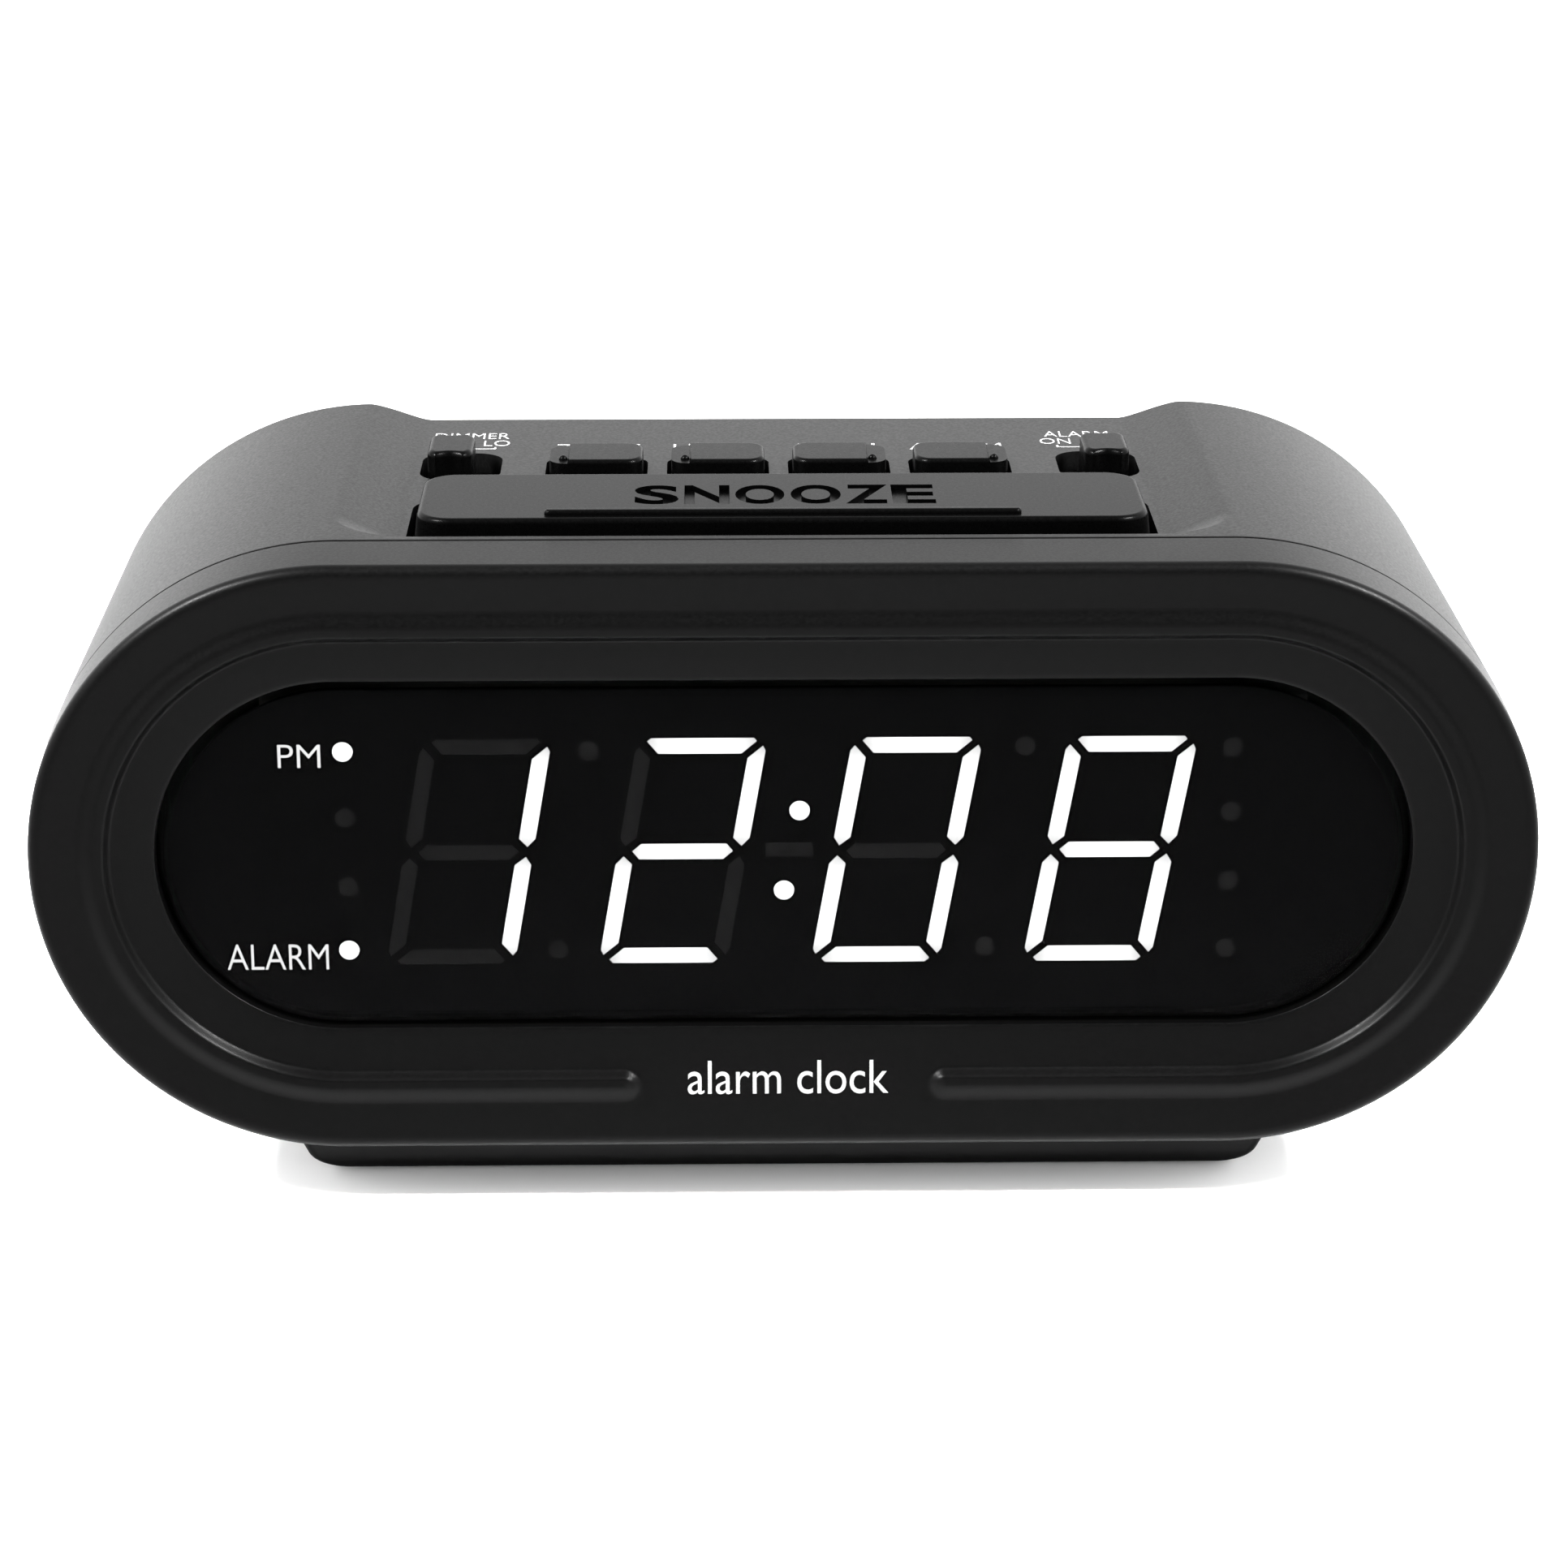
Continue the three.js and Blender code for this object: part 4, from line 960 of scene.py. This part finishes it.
def cell(y):
    """A round cell with its raised terminal to the right."""
    soft = 0.5
    shoulder = CELL_HALF - 1.1
    profile = [(0, -CELL_HALF), (CELL_R - soft, -CELL_HALF), (CELL_R, soft - CELL_HALF)]
    profile += [(CELL_R, CELL_HALF - 1.6), (CELL_R - soft, shoulder), (3.4, shoulder)]
    profile += [(3.2, CELL_HALF - 1), (1.95, CELL_HALF - 1), (1.85, CELL_HALF - 0.1)]
    profile += [(1.7, CELL_HALF), (0, CELL_HALF)]
    return turned_along("x", 0, y, CELL_Z, profile)


def contact_spring(y):
    start, length = BAY["left"] + 0.7, -BAY["left"] - CELL_HALF - 1.5
    steps = 88
    turns = 2.75
    path = []
    for i in range(steps + 1):
        t = i / steps
        a = 2 * math.pi * turns * t
        r = 3.6 - 1.5 * t
        path.append(Vector((start + t * length, y + r * math.cos(a), CELL_Z + r * math.sin(a))))
    return tube(path, 0.34)


def case_screw(x, z):
    """A pan-headed screw with a ridged shank and a cross slot."""
    head = DEPTH - 0.4
    seat = head - 1.6
    shank = [(0, 47), (0.8, 47), (1.0, 47.4)]
    for k in range(10):
        shank += [(1.4, 47.8 + k), (1.15, 48.3 + k)]
    cap = [(1.4, seat), (2.8, seat), (2.8, head - 0.7), (2.6, head - 0.3), (2.1, head), (0, head)]
    screw = turned_along("y", x, 0, z, shank + cap)
    arm = 1.7
    slots = [box(x - arm, x + arm, head - 0.8, head + 1, z - 0.3, z + 0.3)]
    slots.append(box(x - 0.3, x + 0.3, head - 0.8, head + 1, z - arm, z + arm))
    return cut(screw, *slots)


def foot(x, y):
    low, high, soft = PLINTH_FOOT - FOOT_STAND, PLINTH_FOOT + 0.6, 0.3
    edge = []
    for a in SOFT_TURNS:
        edge.append((FOOT_R - soft * (1 - math.cos(a)), low + soft * (1 - math.sin(a))))
    return turned_along("z", x, y, 0, [(0, low), *edge, (FOOT_R, high), (0, high)])


def dc_jack():
    x, z = JACK
    inner_back = DEPTH - WALL - GAP
    body = box(x - 4.6, x + 4.6, 46, inner_back, z - 5.4, z + 5.4, 0.5)
    start, end = inner_back - 1, DEPTH - GAP
    profile = [(0, start), (4, start), (4, DEPTH - 0.6), (3.7, end), (0, end)]
    nose = turned_along("y", x, 0, z, profile)
    return cut(add(body, nose), rod("y", x, 0, z, 2.9, DEPTH - 10, DEPTH + 1))


def jack_pin():
    back, front = DEPTH - 1.2, DEPTH - 9.7
    profile = [(0, front), (1, front), (1, back - 0.5), (0.9, back - 0.2), (0.55, back), (0, back)]
    return turned_along("y", JACK[0], 0, JACK[1], profile, 32)


# ---- The pieces ----
piece(front_bezel(), "bezel", bezel_plastic, nodes=["front_bezel"])
piece(rear_shell(), "shell", shell_plastic, nodes=["rear_shell"])
piece(display_window(), "lens", smoked_lens, nodes=["display_window"])
piece(light_mask(), "window_mask", mask_black, nodes=["segment_mask"])
lit_bars, unlit_bars = segments()
piece(lit_bars, "lit_bars", lit)
piece(unlit_bars, "unlit_bars", unlit)
THINNER = -0.008  # how much the printed strokes are drawn in
WORD_T = 0.04
LEGENDS = [  # text, right end, baseline, width, height
    ("PM", -44.2, 8.35, 4.07, 2.31),
    ("ALARM", -44.1, -12.3, 9.8, 2.6),
]
for text, right, low, width, height in LEGENDS:
    letters = word(text, width, height, WORD_T, THINNER)
    label = full_glow(stand(letters, right - width / 2, MASK_FRONT, low))
    piece(label, f"window_word_{text.lower()}", legend)
NAME_R = 24.2
NAME_LEAN = math.atan(DISH / (FACE_R - EDGE_R - WINDOW_R))
name_plate = stand(word("alarm clock", 19.5, 3.3, WORD_T), 0.3, face_y(NAME_R), -NAME_R, NAME_LEAN)
piece(name_plate, "front_words", print_silver)

piece(snooze_bar(), "snooze_top", control_plastic, "snooze", ["snooze_bar"])
for name, place in KEY_PLACES.items():
    body, node = f"{name}_button", f"{name}_key"
    piece(key(place), f"{name}_keycap", control_plastic, body, [node])
piece(slide_knob(-1), "dimmer_grip", control_plastic, "dimmer", ["dimmer_knob"])
piece(slide_knob(1), "alarm_grip", control_plastic, "alarm_slider", ["alarm_knob"])

PRINT_T = 0.03
KEY_WORD_Y = 48.6
PRINTS = [  # text, middle, baseline, width, height
    ("DIMMER", -31.9, 53.5, 7.8, 2.3),
    ("HI", -35.0, 50.6, 2.2, 2.2),
    ("LO", -29.2, 50.6, 2.7, 2.2),
    ("TIME", KEY_PLACES["time"], KEY_WORD_Y, 8.6, 2.5),
    ("HOUR", KEY_PLACES["hour"], KEY_WORD_Y, 9.2, 2.5),
    ("MIN", KEY_PLACES["minute"], KEY_WORD_Y, 8.0, 2.5),
    ("ALARM", KEY_PLACES["alarm"], KEY_WORD_Y, 9.6, 2.5),
    ("ALARM", 31.5, 53.6, 6.8, 2.2),
    ("ON", 29.1, 50.7, 3.2, 2.2),
    ("OFF", 34.3, 50.7, 3.4, 2.2),
]
prints = [lay(word(text, w, h, PRINT_T, THINNER), x, y, TRAY_FLOOR) for text, x, y, w, h in PRINTS]
LINE_HALF = 0.11
LINE_Y = 49.3
for left, right in ((-35.0, -29.3), (29.2, 34.3)):
    low, high = TRAY_FLOOR, TRAY_FLOOR + PRINT_T
    prints.append(box(left - LINE_HALF, right + LINE_HALF, LINE_Y, LINE_Y + 2 * LINE_HALF, low, high))
    prints += [box(x - LINE_HALF, x + LINE_HALF, 49.55, 50.1, low, high) for x in (left, right)]
piece(group(*prints), "control_words", print_white)

piece(battery_door(), "door_cover", shell_plastic, "door", ["battery_door"])
for k, y in enumerate(CELL_Y, 1):
    piece(cell(y), f"cell_{k}", cell_wrap, nodes=[f"backup_cell_{k}"])
    spring = contact_spring(y)
    piece(spring, f"spring_{k}", plated_steel, nodes=[f"contact_spring_{k}"], angle=60)
for k, (x, z) in enumerate(POSTS, 1):
    piece(case_screw(x, z), f"screw_{k}", screw_steel, nodes=[f"case_screw_{k}"])
for k, (x, y) in enumerate(FEET, 1):
    piece(foot(x, y), f"foot_{k}", rubber_black, nodes=[f"rubber_foot_{k}"])
piece(dc_jack(), "power_inlet", component_black, nodes=["dc_jack"])
piece(jack_pin(), "power_inlet_pin", plated_steel, nodes=["dc_jack_pin"])

# ---- The CAD nodes that stay ----
KEPT = {
    "diffuser_sheet": diffuser_white,
    "reflector_block": reflector_white,
    "display_board": circuit_board,
    "key_board": circuit_board,
    "clock_chip": component_black,
    "voltage_regulator": component_black,
    "clock_crystal": plated_steel,
    "supply_capacitor": component_black,
    "filter_capacitor": component_black,
    "ribbon_cable": flex_cable,
    "buzzer": component_black,
    "contact_plate_1": plated_steel,
    "contact_plate_2": plated_steel,
}
for side in ("left", "right"):
    KEPT[f"snooze_switch_{side}"] = component_black
    KEPT[f"snooze_plunger_{side}"] = component_black
    KEPT[f"display_screw_{side}"] = plated_steel
    KEPT[f"key_board_screw_{side}"] = plated_steel
for name in KEY_PLACES:
    KEPT[f"{name}_switch"] = component_black
    KEPT[f"{name}_plunger"] = component_black
for name in ("dimmer", "alarm"):
    KEPT[f"{name}_slide_switch"] = component_black
    KEPT[f"{name}_slide_lever"] = component_black
for name, look in KEPT.items():
    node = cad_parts[name]
    for place in node.material_slots:
        place.material = look.material
    soft = node.modifiers.new("soft_edges", "BEVEL")
    soft.width = 0.12 * MM
    soft.segments = 2
    soft.limit_method = "ANGLE"
    soft.angle_limit = math.radians(50)
    soft.harden_normals = False

# ---- Floor ----
FLOOR_HALF = 4.0
floor_mesh = bpy.data.meshes.new("floor")
corners = [(x * FLOOR_HALF, y * FLOOR_HALF, 0) for x, y in ((-1, -1), (1, -1), (1, 1), (-1, 1))]
floor_mesh.from_pydata(corners, [], [(0, 1, 2, 3)])
floor = bpy.data.objects.new("floor", floor_mesh)
floor_paint = Look("floor_paint", grey(0.93), 0.9, 0.1).mottle(60, 0.995, 1.005)
floor_mesh.materials.append(floor_paint.material)
bpy.context.scene.collection.objects.link(floor)
